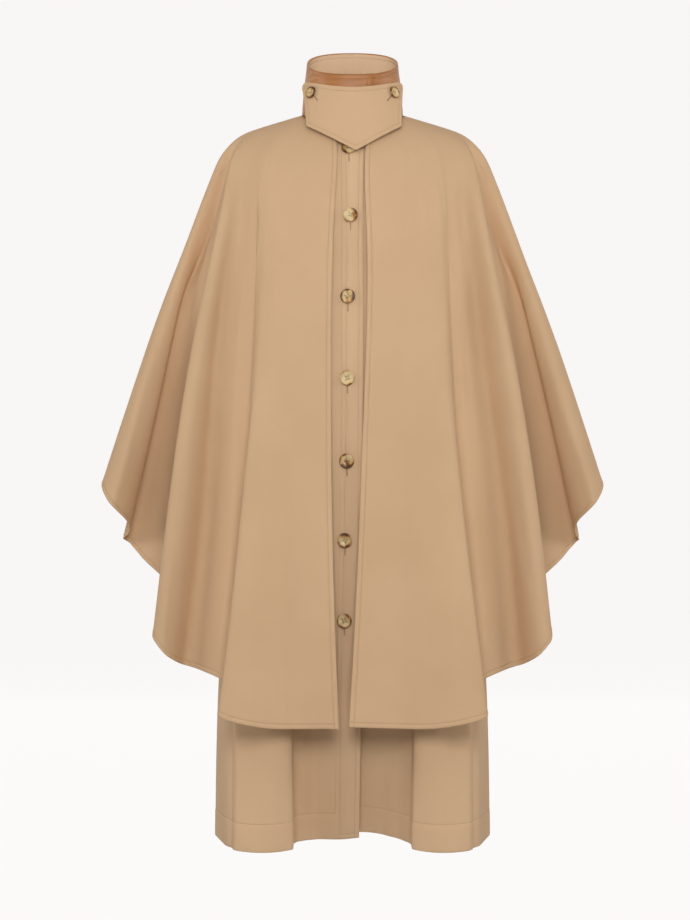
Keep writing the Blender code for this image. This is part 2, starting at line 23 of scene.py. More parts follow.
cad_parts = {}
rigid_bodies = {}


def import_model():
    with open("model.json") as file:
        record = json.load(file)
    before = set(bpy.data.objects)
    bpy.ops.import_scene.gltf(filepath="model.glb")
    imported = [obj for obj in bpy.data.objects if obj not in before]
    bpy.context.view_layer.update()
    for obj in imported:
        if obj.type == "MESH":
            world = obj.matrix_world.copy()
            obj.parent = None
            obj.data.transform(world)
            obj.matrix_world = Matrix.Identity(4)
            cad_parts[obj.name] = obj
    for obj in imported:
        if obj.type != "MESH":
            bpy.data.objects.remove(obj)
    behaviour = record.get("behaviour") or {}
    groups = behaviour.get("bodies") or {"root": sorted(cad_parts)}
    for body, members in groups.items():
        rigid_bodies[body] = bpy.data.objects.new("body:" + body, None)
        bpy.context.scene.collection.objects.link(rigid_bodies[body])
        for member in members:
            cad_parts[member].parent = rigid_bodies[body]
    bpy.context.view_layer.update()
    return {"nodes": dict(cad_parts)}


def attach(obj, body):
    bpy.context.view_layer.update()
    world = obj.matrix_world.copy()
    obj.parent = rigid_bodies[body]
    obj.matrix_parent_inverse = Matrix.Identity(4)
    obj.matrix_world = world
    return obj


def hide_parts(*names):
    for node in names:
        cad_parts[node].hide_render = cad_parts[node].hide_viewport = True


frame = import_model()
print("nodes in the frame:", len(frame["nodes"]))

MM = 0.001
RIGHT = -1.0  # the wearer's right is at -X
LEFT = 1.0

# %% [markdown]
# ## Finishes
#
# Gabardine is a tight, steep twill: from a step away it is smooth and matt, with a faint diagonal and a soft bloom
# where light grazes it. One could paint the colour flat, but then large panels look like plastic. So the shader
# gets a twill from a wave texture on the cut's own UV map, which is in metres, slow changes of tone, and sheen.

# %% A short way to wire nodes
def new_finish(name, roughness, **sockets):
    """A material with its principled shader, whose constant sockets are set here."""
    made = bpy.data.materials.new(name)
    made.use_nodes = True
    shader = made.node_tree.nodes["Principled BSDF"]
    shader.inputs["Roughness"].default_value = roughness
    for socket, value in sockets.items():
        shader.inputs[socket.replace("_", " ")].default_value = value
    return made, made.node_tree.nodes, made.node_tree.links, shader


def node(nodes, kind, **values):
    """Adds a node and sets its properties and its sockets by name."""
    made = nodes.new("ShaderNode" + kind)
    for name, value in values.items():
        if hasattr(made, name):
            setattr(made, name, value)
        else:
            made.inputs[name.replace("_", " ")].default_value = value
    return made


def noise_on(nodes, links, source, scale, detail=2.0, stretch=None):
    """A noise texture on a coordinate, stretched along its axes if asked."""
    made = node(nodes, "TexNoise", Scale=scale, Detail=detail)
    if stretch:
        mapping = node(nodes, "Mapping", Scale=stretch)
        links.new(source, mapping.inputs["Vector"])
        source = mapping.outputs["Vector"]
    links.new(source, made.inputs["Vector"])
    return made.outputs["Fac"]


def toned(nodes, links, factor, dark, light, low=0.35, high=0.65):
    """A colour ramp between two linear colours."""
    ramp = node(nodes, "ValToRGB")
    ends = ramp.color_ramp.elements
    ends[0].position, ends[0].color = low, (*dark, 1.0)
    ends[1].position, ends[1].color = high, (*light, 1.0)
    links.new(factor, ramp.inputs["Fac"])
    return ramp.outputs["Color"]


def worked(nodes, links, operation, *values):
    """A math node on one value or two."""
    made = node(nodes, "Math", operation=operation)
    for value, socket in zip(values, made.inputs):
        links.new(value, socket)
    return made.outputs["Value"]


def bumped(nodes, links, shader, height, distance):
    """Shades a surface as if it rose by a height."""
    bump = node(nodes, "Bump", Strength=0.35, Distance=distance)
    links.new(height, bump.inputs["Height"])
    links.new(bump.outputs["Normal"], shader.inputs["Normal"])


# %% Gabardine
TWILL_PITCH = 0.0007  # metres from one diagonal rib to the next
TWILL_TURN = 63.0  # degrees, the steep twill of gabardine
WAVE_UNIT = 0.314159  # a wave texture of scale 1 repeats after this length
RIB = 0.00005  # how high a rib stands


def gabardine(name, light, dark):
    """Matt cotton twill, on the cut's own map."""
    made, nodes, links, shader = new_finish(name, 0.88, Sheen_Weight=0.07, Sheen_Roughness=0.45)
    shader.inputs["Sheen Tint"].default_value = (1.0, 0.88, 0.74, 1.0)
    shader.inputs["Specular IOR Level"].default_value = 0.15
    cut = node(nodes, "UVMap", uv_map="cut")
    slow = noise_on(nodes, links, cut.outputs["UV"], 7.0, 3.0)
    links.new(toned(nodes, links, slow, dark, light), shader.inputs["Base Color"])
    turned = node(nodes, "Mapping", Rotation=(0.0, 0.0, math.radians(TWILL_TURN)))
    links.new(cut.outputs["UV"], turned.inputs["Vector"])
    ribs = node(nodes, "TexWave", Scale=WAVE_UNIT / TWILL_PITCH, Distortion=0.6, Detail=1.0)
    links.new(turned.outputs["Vector"], ribs.inputs["Vector"])
    tooth = noise_on(nodes, links, cut.outputs["UV"], 420.0, 2.0, (1.0, 0.35, 1.0))
    bumped(nodes, links, shader, worked(nodes, links, "ADD", ribs.outputs["Fac"], tooth), RIB)
    return made


CLOTH = gabardine("camel_gabardine", (0.605, 0.405, 0.242), (0.578, 0.383, 0.226))
# The real coat is surely cut from the cape's cloth. It is 8% paler here, as painted light: it makes up for the gap
# over the placket, which lies a little deeper than the real one and so gets less light.
COAT_CLOTH_PAINTED_LIGHT = gabardine("coat_gabardine_painted_light", (0.655, 0.444, 0.270), (0.625, 0.420, 0.252))
# The lining is a paler copy of the cape's cloth: painted light for the inside of the collar, which gets less light
# here than the real one does.
LINING_CLOTH_PAINTED_LIGHT = gabardine("lining_gabardine_painted_light", (0.675, 0.47, 0.30), (0.645, 0.445, 0.28))
print("made", CLOTH.name, COAT_CLOTH_PAINTED_LIGHT.name, LINING_CLOTH_PAINTED_LIGHT.name)

# %% Thread
THREAD_SHADE = 0.82


def thread_finish(name, colour):
    """Cotton thread, with the darker lines between its fibres."""
    made, nodes, links, shader = new_finish(name, 0.6, Sheen_Weight=0.1)
    place = node(nodes, "TexCoord")
    fibre = noise_on(nodes, links, place.outputs["Object"], 1500.0)
    shade = tuple(THREAD_SHADE * part for part in colour)
    links.new(toned(nodes, links, fibre, shade, colour), shader.inputs["Base Color"])
    return made


THREAD = thread_finish("camel_thread", (0.36, 0.22, 0.115))
SEAM_THREAD = thread_finish("seam_welt", (0.66, 0.46, 0.29))
BUTTON_THREAD = thread_finish("pale_thread", (0.50, 0.38, 0.24))
LEATHER_THREAD = thread_finish("tan_thread", (0.40, 0.20, 0.09))
SLIT = thread_finish("slit_shadow", (0.38, 0.245, 0.135))

# %% Leather
SIDES_FROM, SIDES_FULL = 0.042, 0.066  # metres from the centre plane
PEBBLE = 0.00012


def leather():
    """Smooth tan leather with fine pebbles and darker streaks.

    It is paler at the sides of the neck. That stands for light which the real leather catches there and these
    lamps don't give, and isn't a second colour of leather.
    """
    made, nodes, links, shader = new_finish("tan_leather", 0.46, Specular_IOR_Level=0.38)
    place = node(nodes, "TexCoord").outputs["Object"]
    slow = noise_on(nodes, links, place, 16.0, 4.0, (1.0, 1.0, 9.0))
    throat = toned(nodes, links, slow, (0.315, 0.123, 0.037), (0.435, 0.176, 0.054))
    sides = toned(nodes, links, slow, (0.405, 0.185, 0.075), (0.55, 0.272, 0.118))
    parts = node(nodes, "SeparateXYZ")
    links.new(place, parts.inputs["Vector"])
    share = node(nodes, "MapRange", From_Min=SIDES_FROM, From_Max=SIDES_FULL)
    links.new(worked(nodes, links, "ABSOLUTE", parts.outputs["X"]), share.inputs["Value"])
    both = node(nodes, "Mix", data_type="RGBA")
    links.new(share.outputs["Result"], both.inputs["Factor"])
    links.new(throat, both.inputs[6])  # A and B of a colour mix
    links.new(sides, both.inputs[7])
    links.new(both.outputs[2], shader.inputs["Base Color"])
    pebble = node(nodes, "TexVoronoi", Scale=900.0)
    links.new(place, pebble.inputs["Vector"])
    bumped(nodes, links, shader, pebble.outputs["Distance"], PEBBLE)
    return made


LEATHER = leather()

# %% Horn
HornTone = namedtuple("HornTone", "name at colour")
HORN_TONES = [
    HornTone("dark", 0.35, (0.10, 0.042, 0.013, 1.0)),
    HornTone("amber", 0.42, (0.40, 0.18, 0.05, 1.0)),
    HornTone("olive", 0.50, (0.60, 0.43, 0.20, 1.0)),
    HornTone("pale", 0.68, (0.71, 0.56, 0.31, 1.0)),
]


def horn():
    """Polished horn: pale yellow-beige in the dish, with amber and dark brown clouds that gather at the rim."""
    made, nodes, links, shader = new_finish("pale_horn", 0.28, Specular_IOR_Level=0.35)
    clouds = noise_on(nodes, links, node(nodes, "TexCoord").outputs["Object"], 85.0, 3.0, (1.0, 0.6, 0.7))
    reach = node(nodes, "VectorMath", operation="LENGTH")
    links.new(node(nodes, "UVMap", uv_map="face").outputs["UV"], reach.inputs[0])
    at_rim = node(nodes, "MapRange", From_Min=0.27, From_Max=0.44, To_Min=0.07, To_Max=-0.12)
    links.new(reach.outputs["Value"], at_rim.inputs["Value"])
    ramp = node(nodes, "ValToRGB")
    bands = ramp.color_ramp.elements
    first, *between, last = HORN_TONES
    for band, tone in ((bands[0], first), (bands[1], last)):
        band.position, band.color = tone.at, tone.colour
    for tone in between:
        bands.new(tone.at).color = tone.colour
    links.new(worked(nodes, links, "ADD", clouds, at_rim.outputs["Result"]), ramp.inputs["Fac"])
    links.new(ramp.outputs["Color"], shader.inputs["Base Color"])
    return made


HORN = horn()

# %% [markdown]
# ## From lines to cloth
#
# A pattern cutter thinks of a cape as lines that run from the neckline to the hem: each ridge and each valley is
# one. The solids are made so, and the same lines are used here with many more steps between them. A sculpted or
# simulated sheet would drift from the solids; smooth curves through the named lines stay on them.

# %% Smooth curves through a few points
def curve_through(points, steps):
    """Samples a natural cubic curve through points, with so many steps from each point to the next."""
    points = np.asarray(points, float)
    count = len(points)
    gap = np.linalg.norm(np.diff(points, axis=0), axis=1)
    system = np.eye(count)
    right_side = np.zeros_like(points)
    for i in range(1, count - 1):
        system[i, i - 1 : i + 2] = gap[i - 1], 2 * (gap[i - 1] + gap[i]), gap[i]
        slope_before = (points[i] - points[i - 1]) / gap[i - 1]
        slope_after = (points[i + 1] - points[i]) / gap[i]
        right_side[i] = 6 * (slope_after - slope_before)
    bend = np.linalg.solve(system, right_side)
    b = np.arange(steps)[:, None] / steps
    a = 1 - b
    spans = [
        a * points[i]
        + b * points[i + 1]
        + ((a**3 - a) * bend[i] + (b**3 - b) * bend[i + 1]) * gap[i] ** 2 / 6
        for i in range(count - 1)
    ]
    return np.concatenate([*spans, points[-1:]])


def smooth_step(value, start, end):
    share = np.clip((value - start) / (end - start), 0.0, 1.0)
    return share * share * (3 - 2 * share)


def on_ring(ring, turn):
    """A point of a tilted oval. Front and back may differ in depth and in height."""
    angle = math.radians(turn)
    to_front = abs(turn) <= 90
    depth = ring.fore if to_front else ring.back
    end_drop = ring.drop_front if to_front else ring.drop_back
    tilt = abs(math.cos(angle)) ** RING_TILT
    drop = ring.drop_side + (end_drop - ring.drop_side) * tilt
    return np.array([ring.out * math.sin(angle), -depth * math.cos(angle), -drop])


def at_hem(line):
    return np.array([line.hem_out, -line.hem_fore, -line.hem_drop])


def surface_between(lines, row_steps, column_steps):
    """Rows of points, from the top to the hem, on the smooth surface through lines that run down it."""
    down = np.array([curve_through(line, row_steps) for line in lines])
    return np.array([curve_through(row, column_steps) for row in down.transpose(1, 0, 2)])


def to_side(points, side):
    return np.asarray(points) * np.array([side, 1.0, 1.0])


RING_TILT = 1.6  # how soon a ring leaves its side height towards the front and the back

# %% [markdown]
# ### Hems and edges
#
# A hem shows because two or three layers make it a little thicker, and because the topstitch pulls it in. To
# carve that into the mesh, extra lines of points are laid at set distances from each edge, and moved out or in.

# %% Extra lines along an edge
EDGE_LINES = (0.0, 1.0, 2.6, 4.6, 6.2, 7.2, 8.2, 10.2, 14.0, 20.0)


def finer_end(grid, lines=EDGE_LINES):
    """Replaces the last rows of a grid by rows at set distances from its last one."""
    backwards = grid[::-1]
    steps = np.linalg.norm(np.diff(backwards, axis=0), axis=2)
    distance = np.concatenate([np.zeros((1, grid.shape[1])), np.cumsum(steps, axis=0)])
    kept = int((distance.min(axis=1) > lines[-1] * 1.25).sum())
    made = np.empty((len(lines), grid.shape[1], 3))
    for column in range(grid.shape[1]):
        for axis in range(3):
            made[:, column, axis] = np.interp(lines, distance[:, column], backwards[:, column, axis])
    return np.concatenate([grid[:kept], made[::-1]])


def finer(grid, first_column=False, last_column=False, first_row=False, last_row=False, lines=EDGE_LINES):
    if last_row:
        grid = finer_end(grid, lines)
    if first_row:
        grid = finer_end(grid[::-1], lines)[::-1]
    if last_column:
        grid = finer_end(grid.transpose(1, 0, 2), lines).transpose(1, 0, 2)
    if first_column:
        grid = finer_end(grid[:, ::-1].transpose(1, 0, 2), lines).transpose(1, 0, 2)[:, ::-1]
    return grid


# %% Distances and normals of a grid
def normals_of(grid):
    normals = np.cross(np.gradient(grid, axis=0), np.gradient(grid, axis=1))
    normals /= np.maximum(np.linalg.norm(normals, axis=2, keepdims=True), 1e-9)
    outwards = (normals[:, :, :2] * grid[:, :, :2]).sum()
    return normals if outwards > 0 else -normals


def along(grid, axis):
    """Distances from the first row or column, along the cloth."""
    steps = np.linalg.norm(np.diff(grid, axis=axis), axis=2)
    zero = np.zeros_like(steps[:1] if axis == 0 else steps[:, :1])
    return np.concatenate([zero, np.cumsum(steps, axis=axis)], axis=axis)


HEM_FULL = 0.6  # how far a hem's extra layers lift its face
HEM_EDGE = 2.0  # they are full from here on
HEM_ENDS = (8.5, 11.0)  # and end here
STITCH_SINK = 1.0  # how far the stitches pull it in
STITCH_FROM_EDGE = 7.2
GROOVE = 1.0  # half the width of the groove that they make


def hem_relief(distance, full=HEM_FULL, sink=STITCH_SINK):
    """How far the face is lifted at a distance from a turned and stitched edge."""
    layers = full * smooth_step(distance, 0.0, HEM_EDGE) * (1 - smooth_step(distance, *HEM_ENDS))
    return layers - sink * np.exp(-(((distance - STITCH_FROM_EDGE) / GROOVE) ** 2))


def from_edges(grid):
    """Distances along the cloth from its first and last rows and its first and last columns."""
    return along(grid, 0), along(grid[::-1], 0)[::-1], along(grid, 1), along(grid[:, ::-1], 1)[:, ::-1]


# %% Creases
Crease = namedtuple("Crease", "name at top to foot depth before after")
DEEP = -5.5  # a deeper trough than this is sharp at its foot
SHARP, SOFT = 1.25, 2.0
SWAY, SWAY_TURNS = 0.12, 2.2 * math.pi  # how far a crease wanders, in lines, and how often
FADE_IN, FADE_OUT = 0.3, 0.65  # the shares of its way at which it is full, and from which it fades


def creased(grid, creases, line_steps):
    """Presses soft troughs and ridges into the cloth.

    A crease runs from one of the cloth's own lines to another, between two shares of its length. "depth" is how
    far its middle rises, in millimetres, and "before" and "after" are its widths on either side.
    """
    down, across = along(grid, 0), along(grid, 1)
    share = down / down[-1]
    column = np.arange(grid.shape[1])
    lift = np.zeros(grid.shape[:2])
    for crease in creases:
        on_way = np.clip((share - crease.top) / (crease.foot - crease.top), 0.0, 1.0)
        mean_way = on_way.mean(axis=1)
        middle = crease.at + (crease.to - crease.at) * mean_way + SWAY * np.sin(SWAY_TURNS * mean_way)
        centre = np.array([np.interp(spot, column, row) for spot, row in zip(middle * line_steps, across)])
        aside = across - centre[:, None]
        width = np.where(aside < 0, crease.before, crease.after)
        ends = smooth_step(on_way, 0.0, FADE_IN)
        if crease.foot <= 1.0:
            ends = ends * (1 - smooth_step(on_way, FADE_OUT, 1.0))
        softness = SHARP if crease.depth < DEEP else SOFT
        lift += crease.depth * ends * np.exp(-(np.abs(aside / width) ** softness))
    return grid + normals_of(grid) * lift[:, :, None]


def mirrored(creases, last_line, share=1.0, shift=0.0):
    """The same creases on the other half, a little stronger or weaker and a little aside."""
    return [
        crease._replace(
            at=last_line - crease.at + shift,
            to=last_line - crease.to + shift,
            depth=crease.depth * share,
            before=crease.after,
            after=crease.before,
        )
        for crease in creases
    ]


# %% Laying a grid mesh on the points
def lay(name, grid, wall, finish):
    """Makes a piece of cloth: a grid laid on rows of points, given its wall, with its cut as a UV map."""
    rows, columns = grid.shape[:2]
    shape = bmesh.new()
    bmesh.ops.create_grid(shape, x_segments=columns - 1, y_segments=rows - 1, size=1.0)
    mesh = bpy.data.meshes.new(name)
    shape.to_mesh(mesh)
    shape.free()
    flat = np.empty(len(mesh.vertices) * 3)
    mesh.vertices.foreach_get("co", flat)
    flat = flat.reshape(-1, 3)
    column = np.rint((flat[:, 0] + 1) / 2 * (columns - 1)).astype(int)
    row = np.rint((1 - flat[:, 1]) / 2 * (rows - 1)).astype(int)
    mesh.vertices.foreach_set("co", (grid[row, column] * MM).ravel())
    across = along(grid, 1)
    across = across - across[:, columns // 2][:, None]
    down = along(grid, 0)
    cut = mesh.uv_layers.new(name="cut")
    corner = np.empty(len(mesh.loops), dtype=np.int32)
    mesh.loops.foreach_get("vertex_index", corner)
    cut.data.foreach_set("uv", np.stack([across[row, column], -down[row, column]], 1)[corner].ravel() * MM)
    mesh.update()
    facing = np.empty(len(mesh.polygons) * 3)
    middle = np.empty(len(mesh.polygons) * 3)
    mesh.polygons.foreach_get("normal", facing)
    mesh.polygons.foreach_get("center", middle)
    if (facing.reshape(-1, 3)[:, :2] * middle.reshape(-1, 3)[:, :2]).sum() < 0:
        mesh.flip_normals()
    return dressed(name, mesh, finish, wall)


def dressed(name, mesh, finish, wall=None):
    """Puts a mesh in the scene with its finish, and rides it on the one body."""
    mesh.shade_smooth()
    mesh.materials.append(finish)
    made = bpy.data.objects.new(name, mesh)
    bpy.context.scene.collection.objects.link(made)
    if wall:
        shell = made.modifiers.new("wall", "SOLIDIFY")
        shell.thickness = wall * MM
        shell.offset = -1.0
        shell.use_even_offset = False
    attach(made, "root")
    return made


def area_of(grid):
    """Cloth area in square metres."""
    here = grid[:-1, :-1]
    one = np.cross(grid[1:, :-1] - here, grid[1:, 1:] - here)
    two = np.cross(grid[1:, 1:] - here, grid[:-1, 1:] - here)
    return (np.linalg.norm(one, axis=2) + np.linalg.norm(two, axis=2)).sum() / 2 * MM * MM


# %% [markdown]
# ## Stitches
#
# Topstitching is a row of short thread loops in the groove that they pull. A bump line would vanish close up, and
# a curve object with thousands of points is slow. So one small ball is made with an operator, stretched, and
# copied along the path as one joined mesh.

# %% One stitch, many times
STITCH_PITCH = 3.0
STITCH_LENGTH = 2.3
STITCH_THICK = 0.65


def ball(subdivisions=1):
    """The vertices and faces of a small ball."""
    shape = bmesh.new()
    bmesh.ops.create_icosphere(shape, subdivisions=subdivisions, radius=1.0)
    points = np.array([vert.co[:] for vert in shape.verts])
    faces = [[vert.index for vert in face.verts] for face in shape.faces]
    shape.free()
    return points, np.array(faces)


BALL_POINTS, BALL_FACES = ball()


def evenly(path, pitch, lift):
    """Places at an even pitch along a path of points and normals, with the direction there."""
    points, normals = path
    distance = np.concatenate([[0.0], np.cumsum(np.linalg.norm(np.diff(points, axis=0), axis=1))])
    count = max(int(distance[-1] / pitch), 1)
    at = (np.arange(count) + 0.5) * distance[-1] / count
    place = np.stack([np.interp(at, distance, points[:, axis]) for axis in range(3)], 1)
    up = np.stack([np.interp(at, distance, normals[:, axis]) for axis in range(3)], 1)
    ahead = np.stack([np.interp(at + 0.3, distance, points[:, axis]) for axis in range(3)], 1)
    back = np.stack([np.interp(at - 0.3, distance, points[:, axis]) for axis in range(3)], 1)
    return place + up * lift, ahead - back, up


def stitches(name, paths, pitch=STITCH_PITCH, length=STITCH_LENGTH, thick=STITCH_THICK, lift=0.08, finish=None,
             across=False):
    """Rows of stitches along paths, as one mesh. Across the path they make a whipped edge."""
    points, faces, count = [], [], 0
    for path in paths:
        for place, run, up in zip(*evenly(path, pitch, lift)):
            run = run / max(np.linalg.norm(run), 1e-9)
            side = np.cross(up, run)
            side /= max(np.linalg.norm(side), 1e-9)
            if across:
                run, side = side, run
            rise = np.cross(run, side)
            axes = np.array([run * length / 2, side * thick / 2, rise * thick / 2])
            points.append(place + BALL_POINTS @ axes)
            faces.append(BALL_FACES + count * len(BALL_POINTS))
            count += 1
    mesh = bpy.data.meshes.new(name)
    mesh.from_pydata((np.concatenate(points) * MM).tolist(), [], np.concatenate(faces).tolist())
    shape = bmesh.new()
    shape.from_mesh(mesh)
    bmesh.ops.recalc_face_normals(shape, faces=shape.faces)
    shape.to_mesh(mesh)
    shape.free()
    print(name, "has", count, "stitches")
    return dressed(name, mesh, finish or THREAD)


def row_path(grid, row):
    return grid[row], normals_of(grid)[row]


def column_path(grid, column):
    return grid[:, column], normals_of(grid)[:, column]


def line_at(lines, distance, count, from_start=False):
    """The row or column number of the extra line at a distance from an edge."""
    number = list(lines).index(distance)
    return number if from_start else count - 1 - number


# %% [markdown]
# ## The cape
#
# The cape is a circle of cloth with a hole for the neck: two fronts and a back. It lies on the shoulders and
# breaks into cones below them. Five ovals give the shoulders, and each ridge and valley has its turn on them and
# its place on the hem. The rows of this table are the folds that show, and like ones behind.

# %% The cape's lines
Ring = namedtuple("Ring", "name out fore back drop_front drop_side drop_back rise")
CAPE_RINGS = [
    Ring("neckline", 81.0, 78.5, 55.5, 33.0, -4.0, -29.0, 0.0),
    Ring("yoke", 138.0, 98.0, 92.0, 80.0, 13.0, -6.0, 0.0),
    Ring("shoulder", 191.0, 118.0, 117.0, 134.0, 36.5, 42.0, 0.15),
    Ring("arm_top", 213.0, 130.0, 128.0, 182.0, 66.0, 92.0, 0.6),
    Ring("fold_start", 226.0, 139.0, 136.0, 235.0, 100.0, 150.0, 1.0),
]
Fold = namedtuple("Fold", "name neck shoulder arm start rise hem_out hem_fore hem_drop bow")
CAPE_FOLDS = [
    Fold("panel_inner", 27.0, 17.0, 16.0, 15.0, 0.0, 62.0, 187.0, 957.0, 0.0),
    Fold("panel_valley", 36.0, 26.0, 23.5, 22.0, -1.0, 108.0, 185.0, 958.0, 0.0),
    Fold("panel_outer", 44.0, 33.5, 31.5, 29.5, 2.0, 168.0, 202.0, 949.0, 0.0),
    Fold("front_fold", 50.0, 39.5, 36.5, 34.5, 4.0, 203.5, 190.0, 938.0, -5.0),
    Fold("front_fold_back", 54.0, 43.0, 40.0, 38.0, -3.0, 197.0, 156.0, 925.0, -5.0),
    Fold("front_tuck", 58.0, 47.0, 43.5, 41.5, -9.0, 176.0, 120.0, 905.0, -5.0),
    Fold("middle_rise", 62.0, 52.0, 48.0, 46.0, -3.0, 212.0, 102.0, 885.0, -6.0),
    Fold("middle_valley", 66.0, 59.0, 55.0, 53.0, -5.0, 254.0, 84.0, 871.0, -2.0),
    Fold("middle_crown", 71.0, 67.0, 60.5, 57.0, 8.0, 293.0, 114.0, 848.0, 8.0),
    Fold("middle_fold", 74.0, 71.5, 65.0, 61.5, 7.0, 312.0, 84.0, 815.0, 11.0),
    Fold("middle_tuck", 77.0, 75.0, 69.5, 67.5, -14.0, 282.0, 10.0, 765.0, 6.0),
    Fold("side_valley", 80.0, 78.0, 75.0, 77.5, -16.0, 356.0, -46.0, 684.0, 2.0),
    Fold("side_flank", 83.0, 80.5, 79.0, 82.5, -8.0, 358.0, -6.0, 650.0, 2.0),
    Fold("side_crown", 86.0, 83.0, 82.5, 87.5, 2.0, 383.0, 20.0, 620.0, 4.0),
    Fold("side_fold", 88.0, 85.0, 85.5, 94.0, 4.0, 403.0, -14.0, 588.0, 6.0),
    Fold("side_seam", 90.0, 87.0, 89.0, 101.0, 0.0, 386.0, -78.0, 592.0, 6.0),
    Fold("back_side_valley", 94.0, 91.0, 96.0, 109.0, -8.0, 330.0, -92.0, 658.0, 4.0),
    Fold("back_side_fold", 100.0, 98.0, 105.0, 118.0, 6.0, 310.0, -168.0, 748.0, 6.0),
    Fold("back_tuck", 111.0, 110.0, 117.0, 128.0, -6.0, 232.0, -152.0, 822.0, 0.0),
    Fold("back_fold", 126.0, 127.0, 133.0, 142.0, 4.0, 180.0, -226.0, 884.0, 0.0),
    Fold("back_valley", 147.0, 148.0, 152.0, 157.0, -4.0, 96.0, -194.0, 914.0, 0.0),
    Fold("back_crown", 165.0, 165.0, 167.0, 169.0, 2.0, 44.0, -220.0, 930.0, 0.0),
]
CAPE_BACK_MIDDLE = Fold("back_middle", 180.0, 180.0, 180.0, 180.0, 0.0, 0.0, -212.0, 935.0, 0.0)
HANG_SHARES = (0.34, 0.67, 1.0)
Edge = namedtuple("Edge", "neck start hem_out hem_fore hem_drop bow")
CAPE_EDGE_RIGHT = Edge(17.6, 8.0, 21.4, 190.0, 958.0, 6.0)
CAPE_EDGE_LEFT = Edge(15.4, 5.7, -5.9, 186.0, 955.0, 4.0)


def hung(line, hem, bow):
    """Carries a line on from the start of the folds to the hem."""
    start = line[-1]
    for share in HANG_SHARES:
        point = start + (hem - start) * share
        point[0] += bow * 4 * share * (1 - share)
        line.append(point)
    return np.array(line)


def cape_edge_line(edge):
    """A front edge. It is straight, so its turn grows towards the small neckline."""
    wide, narrow = CAPE_RINGS[-1].out, CAPE_RINGS[0].out
    line = []
    for ring in CAPE_RINGS:
        near_neck = ((wide - ring.out) / (wide - narrow)) ** 3
        line.append(on_ring(ring, edge.start + (edge.neck - edge.start) * near_neck))
    return hung(line, at_hem(edge), edge.bow)


def cape_fold_line(fold):
    """A ridge or valley, from the neckline over the shoulder to the hem."""
    turns = (fold.neck, fold.neck, fold.shoulder, fold.arm, fold.start)
    line = []
    for ring, turn in zip(CAPE_RINGS, turns):
        outwards = np.array([math.sin(math.radians(turn)), -math.cos(math.radians(turn)), 0.0])
        line.append(on_ring(ring, turn) + outwards * fold.rise * ring.rise)
    return hung(line, at_hem(fold), fold.bow)


# %% The cape's surface
CAPE_ROW_STEPS = 14
CAPE_COLUMN_STEPS = 8


def cape_surface():
    """The whole cape as one surface, from its right front edge round the back to the left one."""
    folds = [cape_fold_line(fold) for fold in CAPE_FOLDS]
    right = [to_side(line, RIGHT) for line in [cape_edge_line(CAPE_EDGE_RIGHT), *folds]]
    left = [to_side(line, LEFT) for line in [cape_edge_line(CAPE_EDGE_LEFT), *folds]]
    lines = [*right, cape_fold_line(CAPE_BACK_MIDDLE), *reversed(left)]
    return surface_between(lines, CAPE_ROW_STEPS, CAPE_COLUMN_STEPS)


CAPE_CREASES = [
    Crease("shoulder_tuck", 12.5, 0.08, 12.9, 0.60, -7.5, 9.0, 9.0),
    Crease("side_tuck", 13.0, 0.12, 12.0, 1.1, -18.0, 13.0, 14.0),
    Crease("middle_trough", 8.35, 0.16, 8.1, 1.1, -11.0, 16.0, 15.0),
    Crease("middle_swell", 7.2, 0.30, 6.9, 1.1, 3.0, 12.0, 10.0),
    Crease("front_ridge", 4.0, 0.42, 4.05, 1.1, 2.6, 12.0, 7.0),
    Crease("front_rest", 4.0, 0.02, 4.0, 0.55, -3.2, 16.0, 9.0),
    Crease("front_fill", 5.8, 0.02, 5.7, 0.70, 8.5, 20.0, 13.0),
    Crease("inner_crease", 7.05, 0.14, 7.2, 0.62, -1.6, 7.0, 9.0),
    Crease("middle_ridge", 9.6, 0.14, 9.75, 1.1, 2.6, 13.0, 10.0),
    Crease("panel_hollow", 2.75, 0.25, 1.3, 1.1, -3.0, 26.0, 34.0),
    Crease("outer_ridge", 14.0, 0.60, 14.1, 1.1, 2.4, 9.0, 11.0),
    Crease("outer_crease", 15.2, 0.34, 15.4, 0.95, -0.9, 9.0, 12.0),
    Crease("yoke_crease", 5.4, 0.03, 5.1, 0.33, -1.1, 6.0, 7.0),
    Crease("collar_crease", 2.4, 0.01, 2.9, 0.26, -0.9, 7.0, 9.0),
    Crease("flank_crease", 10.7, 0.30, 10.3, 0.80, -1.8, 7.0, 8.0),
    Crease("low_crease", 8.9, 0.62, 9.1, 1.1, -1.6, 7.0, 9.0),
]
BACK_CREASES = [
    Crease("back_side_trough", 17.1, 0.25, 17.0, 1.1, -4.0, 13.0, 15.0),
    Crease("back_side_ridge", 18.1, 0.20, 18.0, 1.1, 2.6, 12.0, 9.0),
    Crease("back_trough", 19.0, 0.18, 19.1, 1.1, -5.0, 14.0, 17.0),
    Crease("back_ridge", 20.0, 0.20, 20.1, 1.1, 2.8, 13.0, 10.0),
    Crease("back_small", 20.6, 0.10, 20.4, 0.60, -1.5, 8.0, 9.0),
    Crease("back_hollow", 21.1, 0.15, 20.9, 1.1, -4.0, 18.0, 20.0),
    Crease("back_crown_ridge", 22.2, 0.30, 22.0, 1.1, 2.0, 11.0, 13.0),
]
LAST_LINE = 46  # the cape's last line is its left front edge

creases = [*CAPE_CREASES, *BACK_CREASES]
creases += [*mirrored(CAPE_CREASES, LAST_LINE, 0.9, 0.12), *mirrored(BACK_CREASES, LAST_LINE, 0.85, -0.15)]
cape = finer(creased(cape_surface(), creases, CAPE_COLUMN_STEPS), last_row=True)
print("pressed", len(creases), "creases into it")
print("the cape has", cape.shape[0], "rows and", cape.shape[1], "columns of points")

# %% Cutting the cape at its side seams
SEAM = CAPE_COLUMN_STEPS * (1 + [fold.name for fold in CAPE_FOLDS].index("side_seam"))
CAPE_WALL = 1.4
COAT_WALL = 1.2


SEAM_SINK, SEAM_WIDTH = 0.7, 1.6


